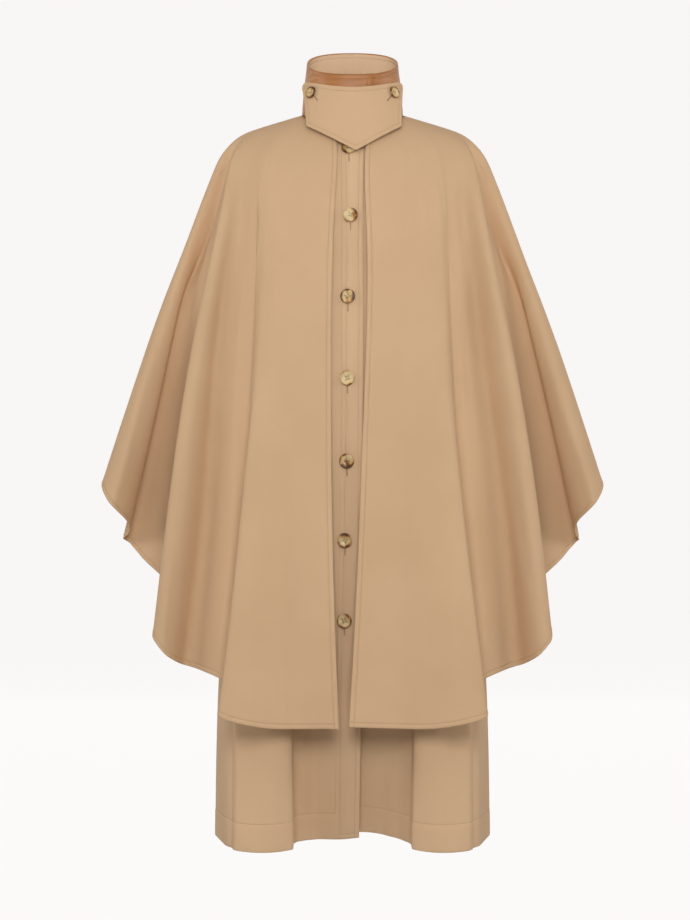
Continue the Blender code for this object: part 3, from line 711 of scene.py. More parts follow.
def seam_dip(distance):
    """How far two pieces dip towards the seam that joins them."""
    return -SEAM_SINK * np.exp(-((distance / SEAM_WIDTH) ** 2))


def with_hems(grid, first=False, last=False):
    """Moves a grid's face out or in along its hem, and along its first or last column."""
    _, from_hem, from_first, from_last = from_edges(grid)
    lift = hem_relief(from_hem)
    if first:
        lift = lift + hem_relief(from_first)
    if last:
        lift = lift + hem_relief(from_last)
    return grid + normals_of(grid) * lift[:, :, None]


SEAM_LINES = (0.8, 1.6, 2.6, 4.2)


def finer_seam(grid):
    """Adds columns close to the last one, so that the cloth can dip there."""
    last, before = grid[:, -1], grid[:, -2]
    width = np.linalg.norm(last - before, axis=1)
    extra = []
    for number, line in enumerate(SEAM_LINES, start=1):
        reach = np.minimum(line / width, number / (len(SEAM_LINES) + 1))
        extra.append(last + (before - last) * reach[:, None])
    return np.concatenate([grid[:, :-1], np.stack(extra[::-1], 1), grid[:, -1:]], axis=1)


panels = {
    "cape_front_right": finer_seam(finer(cape[:, : SEAM + 1], first_column=True)),
    "cape_back": finer_seam(finer_seam(cape[:, SEAM : cape.shape[1] - SEAM])[:, ::-1])[:, ::-1],
    "cape_front_left": finer_seam(finer(cape[:, cape.shape[1] - 1 - SEAM :], last_column=True)[:, ::-1])[:, ::-1],
}
Cut = namedtuple("Cut", "width length area")
cape_panels = {}
for name, grid in panels.items():
    edges = {"first": name == "cape_front_right", "last": name == "cape_front_left"}
    _, _, from_first, from_last = from_edges(grid)
    dip = (not edges["first"]) * seam_dip(from_first) + (not edges["last"]) * seam_dip(from_last)
    cape_panels[name] = with_hems(grid, **edges) + normals_of(grid) * dip[:, :, None]
    piece = lay(name + "_cloth", cape_panels[name], CAPE_WALL, CLOTH)
    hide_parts(name)
    print(name, "has", round(area_of(grid), 3), "square metres of cloth")

# %% [markdown]
# ## The coat
#
# Under the cape hangs a plain A-line coat with open armholes. Its hem swings in soft lobes. It is made from ovals
# at named levels and from waves that share their turn, like the cape.

# %% The coat's lines
Level = namedtuple("Level", "name out fore back drop_front drop_side drop_back armhole lobes full")
COAT_LEVELS = [
    Level("neckline", 80.2, 76.7, 54.3, 33.8, -2.0, -27.3, 90.0, 0.0, 0.0),
    Level("yoke", 133.0, 92.0, 86.0, 85.0, 19.0, 0.0, 90.0, 0.0, 0.0),
    Level("shoulder_tip", 183.0, 107.0, 104.0, 126.0, 45.0, 50.0, 86.0, 0.0, 0.0),
    Level("armhole", 178.0, 120.0, 114.0, 176.0, 140.0, 135.0, 62.0, 0.0, 0.0),
    Level("underarm", 180.0, 129.0, 116.0, 245.0, 232.0, 232.0, 90.0, 0.0, 0.0),
    Level("bust", 184.0, 134.0, 113.0, 320.0, 320.0, 320.0, 90.0, 0.0, 5.0),
    Level("waist", 180.0, 133.0, 110.0, 470.0, 470.0, 470.0, 90.0, 0.06, 14.0),
    Level("hip", 194.0, 134.0, 124.0, 650.0, 650.0, 650.0, 90.0, 0.25, 23.0),
    Level("thigh", 212.0, 137.0, 136.0, 860.0, 860.0, 860.0, 90.0, 0.55, 26.0),
    Level("hem", 219.5, 140.0, 142.0, 1148.0, 1148.0, 1148.0, 90.0, 1.0, 0.0),
]
FULL_TURNS = (14.0, 36.0)  # the front stands full by its edge, and on its oval from the second turn on
STRAIGHT_LEVEL = 2  # from this level on, a line keeps its turn
STRAIGHT_EASE = 0.5
ARMHOLE_TURN = 25.0
Wave = namedtuple("Wave", "name neck turn hem_out hem_fore hem_drop")
COAT_EDGE_RIGHT = [
    Wave("edge", -13.0, -5.2, -10.0, 83.0, 1138.0),
    Wave("placket_seam", 13.0, 5.5, 28.5, 80.0, 1142.0),
    Wave("recess", 30.0, 14.0, 62.0, 72.0, 1143.0),
    Wave("step", 40.0, 22.0, 86.0, 82.0, 1146.0),
]
COAT_EDGE_LEFT = [
    Wave("edge", -13.0, -6.0, -18.0, 74.0, 1133.0),
    Wave("placket_seam", 13.0, 5.5, 22.0, 66.0, 1133.0),
    Wave("recess", 30.0, 14.0, 54.0, 64.0, 1138.0),
    Wave("step", 40.0, 22.0, 86.0, 88.0, 1146.0),
]
COAT_WAVES = [
    Wave("lobe_inner", 46.0, 28.0, 96.0, 128.0, 1150.0),
    Wave("lobe_crown", 57.0, 40.0, 138.0, 145.0, 1153.0),
    Wave("lobe_outer", 68.0, 55.0, 183.0, 128.0, 1151.0),
    Wave("side_hollow", 79.0, 70.0, 202.0, 80.0, 1149.0),
    Wave("side_seam", 90.0, 90.0, 219.5, 0.0, 1147.0),
]
COAT_BACK_WAVES = [
    Wave("side_seam", 90.0, 90.0, 219.5, 0.0, 1147.0),
    Wave("back_side", 110.0, 110.0, 210.0, -70.0, 1148.0),
    Wave("back_lobe_outer", 128.0, 128.0, 172.0, -132.0, 1150.0),
    Wave("back_hollow", 146.0, 146.0, 116.0, -122.0, 1149.0),
    Wave("back_lobe_inner", 163.0, 163.0, 58.0, -150.0, 1150.0),
]
COAT_BACK_MIDDLE = Wave("back_middle", 180.0, 180.0, 0.0, -136.0, 1149.0)
UNDERLAP = 2.4  # how far the left front lies behind the right one where they cross
UNDERLAP_ENDS = (22.0, 62.0)


def within_armhole(turn, armhole):
    """Draws a front in towards its middle where the armhole is cut out."""
    if turn < ARMHOLE_TURN:
        return turn
    return ARMHOLE_TURN + (turn - ARMHOLE_TURN) * (armhole - ARMHOLE_TURN) / (90 - ARMHOLE_TURN)


def coat_line(wave, behind=False):
    """One line of the coat, from the neckline to the hem. Behind, the armhole draws it in to the back."""
    smooth_hem = on_ring(COAT_LEVELS[-1], wave.turn)
    line = []
    for number, level in enumerate(COAT_LEVELS):
        straight = min(number / STRAIGHT_LEVEL, 1.0) ** STRAIGHT_EASE
        turn = wave.neck + (wave.turn - wave.neck) * straight
        if behind:
            turn = 180 - within_armhole(180 - turn, level.armhole)
        else:
            turn = within_armhole(turn, level.armhole)
        point = on_ring(level, turn) + (at_hem(wave) - smooth_hem) * level.lobes
        point[1] -= level.full * (1 - smooth_step(abs(turn), *FULL_TURNS))
        line.append(point)
    return np.array(line)


# %% The coat's fronts and back
COAT_ROW_STEPS = 10
COAT_COLUMN_STEPS = 10


def coat_front(edge_waves, side):
    """One front, from its edge to the side seam."""
    lines = [coat_line(wave) for wave in [*edge_waves, *COAT_WAVES]]
    front = surface_between(lines, COAT_ROW_STEPS, COAT_COLUMN_STEPS)
    front[:, :, 1] = np.minimum(front[:, :, 1], 0.0)  # the side seam lies at the middle of the depth
    return to_side(front, side)


def coat_back():
    left = [coat_line(wave, behind=True) for wave in COAT_BACK_WAVES]
    right = [to_side(line, RIGHT) for line in left]
    middle = coat_line(COAT_BACK_MIDDLE, behind=True)
    back = surface_between([*right, middle, *reversed(left)], COAT_ROW_STEPS, COAT_COLUMN_STEPS)
    back[:, :, 1] = np.maximum(back[:, :, 1], 0.0)
    return back


COAT_CREASES = [
    Crease("side_crease", 6.45, 0.50, 6.45, 1.2, -6.0, 7.0, 12.0),
    Crease("lobe_ridge", 6.05, 0.50, 6.0, 1.2, 3.0, 10.0, 6.0),
    Crease("lobe_crease", 5.1, 0.55, 5.2, 1.2, -1.4, 10.0, 12.0),
    Crease("inner_ridge", 4.1, 0.50, 4.1, 1.2, 3.2, 6.0, 11.0),
    Crease("step_crease", 3.5, 0.45, 3.5, 1.2, -4.0, 9.0, 6.0),
    Crease("recess_crease", 2.1, 0.60, 2.3, 1.2, 1.4, 8.0, 9.0),
    Crease("hem_pinch", 2.9, 0.86, 3.0, 1.2, -2.0, 5.0, 6.0),
]
uneven = [
    crease._replace(at=crease.at + 0.1, to=crease.to - 0.08, depth=0.85 * crease.depth) for crease in COAT_CREASES
]
coat_right = creased(coat_front(COAT_EDGE_RIGHT, RIGHT), COAT_CREASES, COAT_COLUMN_STEPS)
coat_left = creased(coat_front(COAT_EDGE_LEFT, LEFT), uneven, COAT_COLUMN_STEPS)
coat_left[:, :, 1] += UNDERLAP * (1 - smooth_step(coat_left[:, :, 0], *UNDERLAP_ENDS))
coat_behind = coat_back()

# %% [markdown]
# ### The coat's deep hem
#
# The skirt's hem is turned up by 43 mm and blind topstitched there, so its line lies well above the edge.

# %% Laying the coat
SKIRT_LINES = (0.0, 1.2, 3.0, 8.0, 20.0, 34.0, 40.0, 42.0, 43.0, 44.0, 46.0, 50.0, 60.0)
SKIRT_STITCH = 43.0
SKIRT_FULL = 0.5
SKIRT_EDGE = 3.0
SKIRT_ENDS = (43.0, 46.0)
SKIRT_SINK = 0.8
SKIRT_GROOVE = 1.1


def skirt_relief(distance):
    """How far the coat's face is lifted at a distance from its hem."""
    full = SKIRT_FULL * smooth_step(distance, 0.0, SKIRT_EDGE) * (1 - smooth_step(distance, *SKIRT_ENDS))
    return full - SKIRT_SINK * np.exp(-(((distance - SKIRT_STITCH) / SKIRT_GROOVE) ** 2))


coat_panels = {}
for name, grid in {
    "coat_front_right": coat_right,
    "coat_front_left": coat_left,
    "coat_back": coat_behind,
}.items():
    grid = finer_end(grid, SKIRT_LINES)
    lift = skirt_relief(along(grid[::-1], 0)[::-1])
    coat_panels[name] = grid + normals_of(grid) * lift[:, :, None]
    piece = lay(name + "_cloth", coat_panels[name], COAT_WALL, COAT_CLOTH_PAINTED_LIGHT)
    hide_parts(name)
    print(name, "has", round(area_of(grid), 3), "square metres of cloth")

# %% [markdown]
# ## The placket band
#
# A straight strip lies along the right front's edge and carries the buttons. It is moved out from the front's own
# points, so that it can't part from it, and both its long edges are stitched.

# %% The placket
SEAM_GAP = 0.3
PLACKET_WALL = 1.4
PLACKET_SINK = 0.45  # its stitches are looser
PLACKET_FULL = 0.3
SEAM_SLOPE = 15.0  # over this width it comes up out of its seam
SEAM_PROUD = 0.15
lifted = (coat_right + normals_of(coat_right) * (SEAM_GAP + PLACKET_WALL))[:, : COAT_COLUMN_STEPS + 1]
placket = finer(lifted, first_column=True, last_column=True, last_row=True)
_, from_hem, from_free, from_fixed = from_edges(placket)
lift = hem_relief(from_hem) + hem_relief(from_free, PLACKET_FULL, PLACKET_SINK)
lift = lift + hem_relief(from_fixed, 0.0, PLACKET_SINK)
lift -= (SEAM_GAP + PLACKET_WALL - SEAM_PROUD) * (1 - smooth_step(from_fixed, 0.0, SEAM_SLOPE))
placket_face = placket + normals_of(placket) * lift[:, :, None]
piece = lay("placket_cloth", placket_face, PLACKET_WALL, COAT_CLOTH_PAINTED_LIGHT)
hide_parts("placket")
print("the placket has", round(area_of(placket), 3), "square metres of cloth")

# %% [markdown]
# ## The collar
#
# A tall stand collar, leather outside and cloth inside. Its ovals are a little square, and lean back from the
# throat to the nape. The upper end is cut on a slant left of the centre front.

# %% The collar's bands
Band = namedtuple("Band", "name out fore back drop_front drop_side drop_back tilt square")
COLLAR_BANDS = [
    Band("base", 80.7, 78.2, 55.2, 32.4, -4.6, -29.7, 1.6, 2.0),
    Band("middle", 77.5, 76.8, 60.0, -13.0, -46.0, -71.0, 1.3, 2.3),
    Band("rim", 72.3, 75.2, 65.0, -58.0, -86.6, -113.0, 1.0, 2.4),
]
OVER_END_BASE = 13.5
OVER_END_RIM = 24.5
UNDER_END = 14.0
COLLAR_LAP = 4.0
COLLAR_LAP_TURNS = (290.0, 326.0)
COLLAR_ROW_STEPS = 10
COLLAR_COLUMNS = 240
LEATHER_WALL = 1.3
LINING_WALL = 1.0
RIM_BAND = 9.0  # above this the rim's own row of stitches runs
OVER_END_RISE = 0.8  # the upper end stands up over the leather that it laps
OVER_END_BAND = (8.0, 16.0)


def on_band(band, turn, drawn_in):
    """A point of a collar band, with the turn running round through the wearer's right to the nape."""
    angle = math.radians(turn)
    to_front = math.cos(angle) >= 0
    depth = band.fore if to_front else band.back
    end_drop = band.drop_front if to_front else band.drop_back
    across = abs(math.sin(angle)) / band.out
    level = abs(math.cos(angle)) / depth
    radius = (across**band.square + level**band.square) ** (-1 / band.square)
    tilt = (radius * abs(math.cos(angle)) / depth) ** band.tilt
    drop = band.drop_side + (end_drop - band.drop_side) * tilt
    radius -= drawn_in
    return np.array([-radius * math.sin(angle), -radius * math.cos(angle), -drop])


def collar_surface(inset):
    """The collar from its upper end, left of the centre front, round the nape to the end that lies under."""
    bands = []
    for number, band in enumerate(COLLAR_BANDS):
        over_end = OVER_END_BASE + (OVER_END_RIM - OVER_END_BASE) * number / 2
        row = []
        for column in range(COLLAR_COLUMNS + 1):
            turn = -over_end + (360 + over_end + UNDER_END) * column / COLLAR_COLUMNS
            lap = COLLAR_LAP * float(smooth_step(turn, *COLLAR_LAP_TURNS))
            row.append(on_band(band, turn, inset + lap))
        bands.append(row)
    lines = np.array(bands[::-1]).transpose(1, 0, 2)
    down = np.array([curve_through(line, COLLAR_ROW_STEPS) for line in lines])
    return down.transpose(1, 0, 2)


collar = finer(collar_surface(0.0), first_row=True, first_column=True)
from_rim, _, from_end, _ = from_edges(collar)
lift = hem_relief(from_rim) + hem_relief(from_end) * (from_rim > RIM_BAND)
lift = lift + OVER_END_RISE * (1 - smooth_step(from_end, *OVER_END_BAND))
collar = collar + normals_of(collar) * lift[:, :, None]
collar_outside = lay("collar_leather", collar, LEATHER_WALL, LEATHER)
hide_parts("collar_outer")

# %% The lining, with the wrinkles of a cloth that is bent the tight way round
WRINKLE_LINES = 20  # the table counts so many lines round the collar
LINING_RELIEF = 0.8
LINING_WRINKLES = [
    Crease("nape_left", 8.9, 0.10, 8.5, 0.9, -2.4, 5.0, 7.0),
    Crease("nape_middle", 9.6, 0.12, 9.9, 0.8, -1.9, 4.0, 6.0),
    Crease("nape_right", 10.6, 0.10, 10.2, 0.9, -2.6, 6.0, 5.0),
    Crease("nape_far", 11.5, 0.10, 11.8, 0.7, -1.8, 4.0, 5.0),
]
collar_behind = finer(collar_surface(LEATHER_WALL + SEAM_GAP), first_row=True)
lining = creased(collar_behind, LINING_WRINKLES, COLLAR_COLUMNS / WRINKLE_LINES)
from_rim = along(lining, 0)
lining = lining - normals_of(lining) * hem_relief(from_rim)[:, :, None] * LINING_RELIEF
collar_inside = lay("collar_lining", lining, LINING_WALL, LINING_CLOTH_PAINTED_LIGHT)
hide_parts("collar_inner")

# %% The leather turned over the rim
RIM_ROLL = 1.1  # how high the turned leather stands above the cut edges
RIM_REACH, RIM_START = 1.3, 0.15  # in half turns: how far it goes round, and how far outside and below it starts
RIM_WIDER = 1.12
RIM_WALL = 0.35


def rolled_edge(outer, inner, up, steps=8):
    """A rounded cover from the outer face over both walls to the inner face."""
    middle, reach = (outer + inner) / 2, (outer - inner) / 2
    turns = [math.pi * (step / steps * RIM_REACH - RIM_START) for step in range(steps + 1)]
    return np.array([
        middle + reach * math.cos(turn) * RIM_WIDER + up * RIM_ROLL * math.sin(turn) for turn in turns
    ])


outward = normals_of(collar)[0]
up = collar[0] - collar[2]
up /= np.linalg.norm(up, axis=1, keepdims=True)
through = LEATHER_WALL + SEAM_GAP + LINING_WALL
rim = lay("collar_rim", rolled_edge(collar[0], collar[0] - outward * through, up)[::-1], RIM_WALL, LEATHER)

# %% [markdown]
# ## The throat flap
#
# A doubled pentagon that buttons across the collar at both ends. It curves round the neck and stands a little
# away at its point.

# %% The flap
FLAP_TOP_MIDDLE = 38.5
FLAP_TOP_ENDS = 52.5
FLAP_CORNER = 9.0
FLAP_SIDE_TOP = 79.6
FLAP_SIDE_BOTTOM = {RIGHT: 72.5, LEFT: 77.0}
FLAP_SIDE_DROP = 22.0
FLAP_TIP_ACROSS = 5.2
FLAP_TIP_DROP = 63.7
FLAP_OUT_TOP = 84.0
FLAP_OUT_TIP = 108.0
FLAP_FORE_TOP = 78.3
FLAP_FORE_TIP = 98.0
FLAP_SQUARE = 2.6
FLAP_WALL = 2.4
FLAP_ROWS = 44
FLAP_COLUMNS = 96


def flap_depth(across, height):
    """How far the flap's face lies in front of the neck's middle, at a distance across and a height."""
    down = max((FLAP_TOP_MIDDLE - height) / (FLAP_TOP_MIDDLE + FLAP_TIP_DROP), 0.0)
    fore = FLAP_FORE_TOP + (FLAP_FORE_TIP - FLAP_FORE_TOP) * down
    out = FLAP_OUT_TOP + (FLAP_OUT_TIP - FLAP_OUT_TOP) * down
    return fore * (1 - (abs(across) / out) ** FLAP_SQUARE) ** (1 / FLAP_SQUARE)


def flap_point(share, down):
    """A point of the flap, from -1 to 1 across and from 0 to 1 down it."""
    side = FLAP_SIDE_TOP + (FLAP_SIDE_BOTTOM[RIGHT if share < 0 else LEFT] - FLAP_SIDE_TOP) * down
    corner = max(0.0, (abs(share) * side - (side - FLAP_CORNER)) / FLAP_CORNER)
    top = FLAP_TOP_MIDDLE + (FLAP_TOP_ENDS - FLAP_TOP_MIDDLE) * share**2
    top -= FLAP_CORNER * (1 - math.sqrt(max(0.0, 1 - corner**2)))
    low = FLAP_TIP_DROP + (FLAP_SIDE_DROP - FLAP_TIP_DROP) * abs(share)
    across = share * side + FLAP_TIP_ACROSS * (1 - abs(share)) * down
    height = top + (-low - top) * down
    return [across, -flap_depth(across, height), height]


flap = np.array([
    [flap_point(2 * column / FLAP_COLUMNS - 1, row / FLAP_ROWS) for column in range(FLAP_COLUMNS + 1)]
    for row in range(FLAP_ROWS + 1)
])
flap = finer(flap, True, True, True, True)
flap_face = with_hems(flap, first=True, last=True)
flap_face = flap_face + normals_of(flap) * hem_relief(along(flap, 0))[:, :, None]
piece = lay("throat_flap_cloth", flap_face, FLAP_WALL, CLOTH)
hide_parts("throat_flap")
print("the flap has", round(area_of(flap), 4), "square metres of cloth")

# %% [markdown]
# ## Buttons
#
# Each button is turned from a disc: a rolled rim, a dish and four holes. A half profile spun round its axis gives
# the disc, as a lathe would, and a boolean drills it. Thread crosses the holes and makes the shank behind.

# %% Turning and drilling
Turned = namedtuple("Turned", "name reach level")
BUTTON_PROFILE = [
    Turned("back_middle", 0.0, 0.0),
    Turned("back_edge", 0.72, 0.0),
    Turned("back_round", 0.9, 0.2),
    Turned("girth", 1.0, 0.55),
    Turned("rim_outer", 0.95, 0.9),
    Turned("rim_crest", 0.86, 1.0),
    Turned("rim_inner", 0.77, 0.93),
    Turned("dish_edge", 0.66, 0.68),
    Turned("dish_middle", 0.0, 0.66),
]
BUTTON_HEIGHT = 0.19
HOLE_SIZE = 0.105
HOLE_SPACING = 0.085
BUTTON_STEPS = 40
HOLE_SIDES = 10
BUTTON_GAP = 0.9
THREAD_THICK = 0.30
THREAD_APART = 0.2
SHANK = 1.4
SHANK_SUNK = 0.2
PLACKET_BUTTON = 23.0
FLAP_BUTTON = 19.0


def turned_disc(diameter):
    shape = bmesh.new()
    radius, height = diameter / 2, BUTTON_HEIGHT * diameter
    outline = [shape.verts.new((point.reach * radius, 0.0, point.level * height)) for point in BUTTON_PROFILE]
    edges = [shape.edges.new(pair) for pair in zip(outline, outline[1:])]
    bmesh.ops.spin(shape, geom=[*outline, *edges], cent=(0, 0, 0), axis=(0, 0, 1), angle=2 * math.pi,
                   steps=BUTTON_STEPS, use_merge=True)
    bmesh.ops.remove_doubles(shape, verts=shape.verts, dist=diameter * 1e-4)
    bmesh.ops.recalc_face_normals(shape, faces=shape.faces)
    return shape


def rod(shape, radius, length, place, sides):
    bmesh.ops.create_cone(shape, cap_ends=True, segments=sides, radius1=radius, radius2=radius, depth=length,
                          matrix=place)


def drill_rods(diameter):
    rods = bmesh.new()
    reach = HOLE_SPACING * diameter
    for across in (-reach, reach):
        for up in (-reach, reach):
            rod(rods, HOLE_SIZE * diameter / 2, diameter, Matrix.Translation((across, up, 0)), HOLE_SIDES)
    return rods


def as_mesh(name, shape):
    mesh = bpy.data.meshes.new(name)
    shape.to_mesh(mesh)
    shape.free()
    return mesh


def drilled_disc(diameter):
    """The finished button's mesh, lying on the XY plane, in millimetres."""
    scene = bpy.context.scene.collection.objects
    disc = bpy.data.objects.new("disc", as_mesh("disc", turned_disc(diameter)))
    rods = bpy.data.objects.new("rods", as_mesh("rods", drill_rods(diameter)))
    scene.link(disc)
    scene.link(rods)
    holes = disc.modifiers.new("holes", "BOOLEAN")
    holes.object, holes.operation, holes.solver = rods, "DIFFERENCE", "EXACT"
    bpy.context.view_layer.update()
    made = bpy.data.meshes.new_from_object(disc.evaluated_get(bpy.context.evaluated_depsgraph_get()))
    face = made.uv_layers.new(name="face")
    for loop in made.loops:
        face.data[loop.index].uv = made.vertices[loop.vertex_index].co.xy / diameter
    bpy.data.objects.remove(disc)
    bpy.data.objects.remove(rods)
    return made


DISCS = {size: drilled_disc(size) for size in (PLACKET_BUTTON, FLAP_BUTTON)}
print("a button has", len(DISCS[PLACKET_BUTTON].polygons), "faces")

# %% Where the buttons sit
ButtonPlace = namedtuple("ButtonPlace", "across drop turn")
PLACKET_BUTTONS = [
    ButtonPlace(-5.8, 57.0, 12),
    ButtonPlace(-3.5, 167.0, 75),
    ButtonPlace(-7.4, 294.0, 38),
    ButtonPlace(-8.1, 420.5, 104),
    ButtonPlace(-8.9, 548.5, 57),
    ButtonPlace(-12.0, 671.0, 150),
    ButtonPlace(-12.8, 795.0, 21),
]
FLAP_BUTTON_PLACES = {"right": ButtonPlace(-64.5, -31.5, 40), "left": ButtonPlace(64.5, -31.5, 40)}


def face_tree(grid):
    rows, columns = grid.shape[:2]
    first = (np.arange(rows - 1)[:, None] * columns + np.arange(columns - 1)).ravel()
    faces = np.stack([first, first + 1, first + columns + 1, first + columns], 1).tolist()
    return BVHTree.FromPolygons([Vector(point) for point in grid.reshape(-1, 3)], faces)


def seen_from_front(tree, across, drop):
    """Where the cloth lies at a place that is given across and down, and which way it faces."""
    hit, normal, _, _ = tree.ray_cast(Vector((across, -1000.0, -drop)), Vector((0.0, 1.0, 0.0)))
    return hit, normal if normal.y < 0 else -normal


PLACKET_TREE = face_tree(placket_face)
FLAP_TREE = face_tree(flap_face)


def thread_cross(diameter, place):
    """Two bars of thread from hole to hole, and the shank behind."""
    shape = bmesh.new()
    reach = HOLE_SPACING * diameter
    level = BUTTON_PROFILE[-1].level * BUTTON_HEIGHT * diameter + THREAD_THICK / 2
    for across in (-reach, reach):
        for shift in (-THREAD_APART, THREAD_APART):
            bar = Matrix.Translation((across + shift, 0, level)) @ Matrix.Rotation(math.pi / 2, 4, "X")
            rod(shape, THREAD_THICK / 2, 2 * reach, bar, 6)
    rod(shape, SHANK, level + BUTTON_GAP, Matrix.Translation((0, 0, (level - BUTTON_GAP) / 2 - SHANK_SUNK)), 10)
    shape.transform(place)
    return as_mesh("thread", shape)


def sew_button(name, diameter, tree, place):
    """Sets a button a thread's shank off the cloth, facing as the cloth does there."""
    seat, normal = seen_from_front(tree, place.across, place.drop)
    facing = normal.to_track_quat("Z", "Y").to_matrix().to_4x4()
    where = Matrix.Scale(MM, 4) @ Matrix.Translation(seat + normal * BUTTON_GAP) @ facing
    where = where @ Matrix.Rotation(math.radians(place.turn), 4, "Z")
    disc = DISCS[diameter].copy()
    disc.transform(where)
    disc.materials.clear()
    made = dressed(name + "_horn", disc, HORN)
    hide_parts(name)
    dressed(name + "_thread", thread_cross(diameter, where), BUTTON_THREAD)


for number, place in enumerate(PLACKET_BUTTONS, start=1):
    sew_button(f"button_{number}", PLACKET_BUTTON, PLACKET_TREE, place)
for side, place in FLAP_BUTTON_PLACES.items():
    sew_button(f"flap_button_{side}", FLAP_BUTTON, FLAP_TREE, place)

# %% [markdown]
# ## Topstitching and buttonholes
#
# Every edge of the cape, the placket, the flap and the collar's rim is topstitched, and the coat's hem has its
# line well above the edge. The grooves are in the cloth already, and the stitches lie in them.

# %% Rows of stitches
right_front, left_front = cape_panels["cape_front_right"], cape_panels["cape_front_left"]
rows = [row_path(grid, line_at(EDGE_LINES, STITCH_FROM_EDGE, grid.shape[0])) for grid in cape_panels.values()]
edge = line_at(EDGE_LINES, STITCH_FROM_EDGE, 0, from_start=True)
rows.append(column_path(right_front, edge))
rows.append(column_path(left_front, line_at(EDGE_LINES, STITCH_FROM_EDGE, left_front.shape[1])))
stitches("cape_topstitch", rows)

stitches("coat_hem_topstitch", [
    row_path(grid, line_at(SKIRT_LINES, SKIRT_STITCH, grid.shape[0])) for grid in coat_panels.values()
])
stitches("placket_topstitch", [column_path(placket_face, edge), column_path(placket_face, -1 - edge)])
flap_normals = normals_of(flap_face)
inner = slice(edge, -edge)
flap_rows = [(edge, inner), (-1 - edge, inner), (inner, edge), (inner, -1 - edge)]
stitches("flap_topstitch", [(flap_face[row], flap_normals[row]) for row in flap_rows])
collar_normals = normals_of(collar)
collar_rows = [(edge, slice(edge, None)), (slice(edge, None), edge)]
stitches("collar_topstitch", [(collar[row], collar_normals[row]) for row in collar_rows], finish=LEATHER_THREAD)
inwards = -normals_of(lining)[edge]
stitches("lining_topstitch", [(lining[edge] + inwards * LINING_WALL, inwards)])

# %% Buttonholes
HOLE_START = -2.0  # the upper end lies just above the button's middle
SLIT_SIDE = 0.6  # a whipped edge lies so far aside
BAR_HALF = 1.9  # half the bar of thread that ends it
Hole = namedtuple("Hole", "tree place slant length")
HOLES = [Hole(PLACKET_TREE, place, 0.0, 23.0) for place in PLACKET_BUTTONS]
HOLES += [
    Hole(FLAP_TREE, FLAP_BUTTON_PLACES["right"], 35.0, 16.5),
    Hole(FLAP_TREE, FLAP_BUTTON_PLACES["left"], -35.0, 16.5),
]


def path_on(tree, starts, ends, steps=20):
    """A path on the cloth between two places that are given across and down."""
    way = np.subtract(ends, starts)
    spots = [seen_from_front(tree, *np.add(starts, way * share)) for share in np.linspace(0, 1, steps)]
    return np.array([spot for spot, _ in spots]), np.array([normal for _, normal in spots])


def along_hole(hole, start, end, aside_start=0.0, aside_end=0.0):
    """A path beside a buttonhole. "start" and "end" run along it from the button's middle."""
    turn = math.radians(hole.slant)
    run, side = np.array([math.sin(turn), math.cos(turn)]), np.array([math.cos(turn), -math.sin(turn)])
    middle = np.array([hole.place.across, hole.place.drop])
    return path_on(hole.tree, middle + run * start + side * aside_start, middle + run * end + side * aside_end)


whip, slit = [], []
for hole in HOLES:
    whip += [along_hole(hole, HOLE_START, hole.length, aside, aside) for aside in (-SLIT_SIDE, SLIT_SIDE)]
    whip.append(along_hole(hole, hole.length, hole.length, -BAR_HALF, BAR_HALF))
    slit.append(along_hole(hole, HOLE_START, hole.length - SLIT_SIDE))
stitches("buttonhole_whipping", whip, pitch=0.55, length=1.2, thick=0.45, lift=0.08, across=True)

# %% The slits, dark between their whipped edges
stitches("buttonhole_slit", slit, pitch=3.0, length=3.4, thick=0.3, lift=0.0, finish=SLIT)

# %% The shoulder seams, raised a little by the cloth turned in behind them
# on which of the cape's lines, and at which share of its length
WELT_TOP, WELT_FOOT = (12.0, 0.144), (13.4, 0.228)
WELT_STEPS = 40


def welt(grid, side):
    """A path across the cape's lines on the shoulder."""
    down, normals = along(grid, 0), normals_of(grid)
    points, ups = [], []
    for way in np.linspace(0, 1, WELT_STEPS):
        at, share = (a + (b - a) * way for a, b in zip(WELT_TOP, WELT_FOOT))
        at = (at if side == RIGHT else LAST_LINE - at) * CAPE_COLUMN_STEPS
        low = int(at)
        row = share * down[-1, low]
        for found, values in ((points, grid), (ups, normals)):
            near = [
                [np.interp(row, down[:, low + step], values[:, low + step, axis]) for axis in range(3)]
                for step in (0, 1)
            ]
            found.append(near[0] + (np.array(near[1]) - near[0]) * (at - low))
    return np.array(points), np.array(ups)


stitches("shoulder_welt", [welt(cape, RIGHT), welt(cape, LEFT)], pitch=0.8, length=2.4, thick=1.0, lift=0.1,
         finish=SEAM_THREAD)

# %% [markdown]
# ## The studio
#
# Pale paper runs from the floor to a wall far behind the garment, so no horizon shows. It is evenly lit, which here
# is its own glow. The light is soft: a panel on each side for the folds, one in front, which lights the gap over the
# placket too, a weak one higher up, so that the hem is a little darker than the shoulders, and a dim, warm surround.

# %% The paper, in metres
FLOOR_START = -7.0
SWEEP_FLOOR = -1.62
SWEEP_START = 1.4  # the paper is lit from here on
SWEEP_BACK = 8.2
SWEEP_CURVE = 1.2
SWEEP_TOP = 7.0
SWEEP_WIDE = 9.0
SWEEP_STEPS = 16


def sheet_of_paper(name, profile, finish):
    """A wide strip of paper along a profile of places in depth and height."""
    shape = bmesh.new()
    line = [shape.verts.new((-SWEEP_WIDE, y, z)) for y, z in profile]
    edges = [shape.edges.new(pair) for pair in zip(line, line[1:])]
    wide = bmesh.ops.extrude_edge_only(shape, edges=edges)
    moved = [part for part in wide["geom"] if isinstance(part, bmesh.types.BMVert)]
    bmesh.ops.translate(shape, vec=(2 * SWEEP_WIDE, 0, 0), verts=moved)
    bmesh.ops.recalc_face_normals(shape, faces=shape.faces)
    mesh = as_mesh(name, shape)
    mesh.shade_smooth()
    mesh.materials.append(finish)
    made = bpy.data.objects.new(name, mesh)
    bpy.context.scene.collection.objects.link(made)


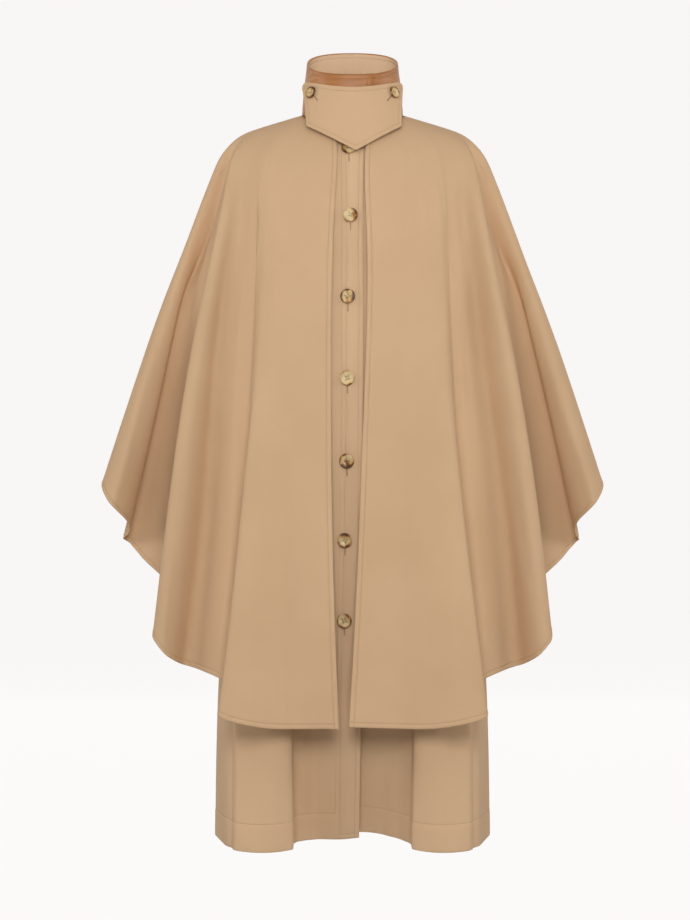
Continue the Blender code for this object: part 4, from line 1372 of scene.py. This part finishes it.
FLOOR, _, _, _ = new_finish("pale_floor", 0.9, Base_Color=(0.54, 0.53, 0.52, 1.0))
PAPER, _, _, _ = new_finish("lit_paper", 0.9, Base_Color=(0.02, 0.02, 0.02, 1.0),
                            Emission_Color=(0.925, 0.908, 0.9, 1.0), Emission_Strength=1.0)
curve = [math.pi / 2 * step / SWEEP_STEPS for step in range(SWEEP_STEPS + 1)]
rise = [(SWEEP_BACK - SWEEP_CURVE + SWEEP_CURVE * math.sin(turn),
         SWEEP_FLOOR + SWEEP_CURVE * (1 - math.cos(turn))) for turn in curve]
sheet_of_paper("floor", [(FLOOR_START, SWEEP_FLOOR), (SWEEP_START, SWEEP_FLOOR)], FLOOR)
sheet_of_paper("sweep", [(SWEEP_START, SWEEP_FLOOR), *rise, (SWEEP_BACK, SWEEP_TOP)], PAPER)

# %% Light and camera
world = bpy.data.worlds.new("studio")
bpy.context.scene.world = world
world.use_nodes = True
surround = world.node_tree.nodes["Background"]
surround.inputs["Color"].default_value = (1.0, 0.93, 0.85, 1.0)
surround.inputs["Strength"].default_value = 0.2


Panel = namedtuple("Panel", "name place size power")
PANELS = [
    Panel("panel_right", Vector((-3.0, -0.9, 0.5)), 1.3, 32),
    Panel("panel_left", Vector((3.0, -0.9, 0.5)), 1.3, 32),
    Panel("panel_front", Vector((0.0, -2.75, 0.25)), 0.9, 38),
    Panel("panel_top", Vector((0.0, -1.9, 1.3)), 1.4, 9),
]
LIT_PLACE = Vector((0, 0, -0.5))  # all of them face the garment's middle


def soft_light(panel):
    lamp = bpy.data.lights.new(panel.name, "AREA")
    lamp.energy, lamp.size = panel.power, panel.size
    made = bpy.data.objects.new(panel.name, lamp)
    bpy.context.scene.collection.objects.link(made)
    made.location = panel.place
    made.rotation_mode = "QUATERNION"
    made.rotation_quaternion = (LIT_PLACE - made.location).to_track_quat("-Z", "Y")


for panel in PANELS:
    soft_light(panel)

FOCAL_PIXELS = 2500.0  # the photograph's frame is 690 by 920 pixels
FRAME_HIGH = 920.0
SENSOR = 36.0
EYE = (-0.012, -4.0, -0.547)
camera = bpy.data.cameras.new("camera")
camera.sensor_fit = "VERTICAL"
camera.sensor_height = SENSOR
camera.lens = camera.sensor_height * FOCAL_PIXELS / FRAME_HIGH
eye = bpy.data.objects.new("camera", camera)
bpy.context.scene.collection.objects.link(eye)
eye.location = EYE
eye.rotation_euler = (math.pi / 2, 0, 0)
bpy.context.scene.camera = eye
bpy.context.scene.view_settings.view_transform = "Standard"
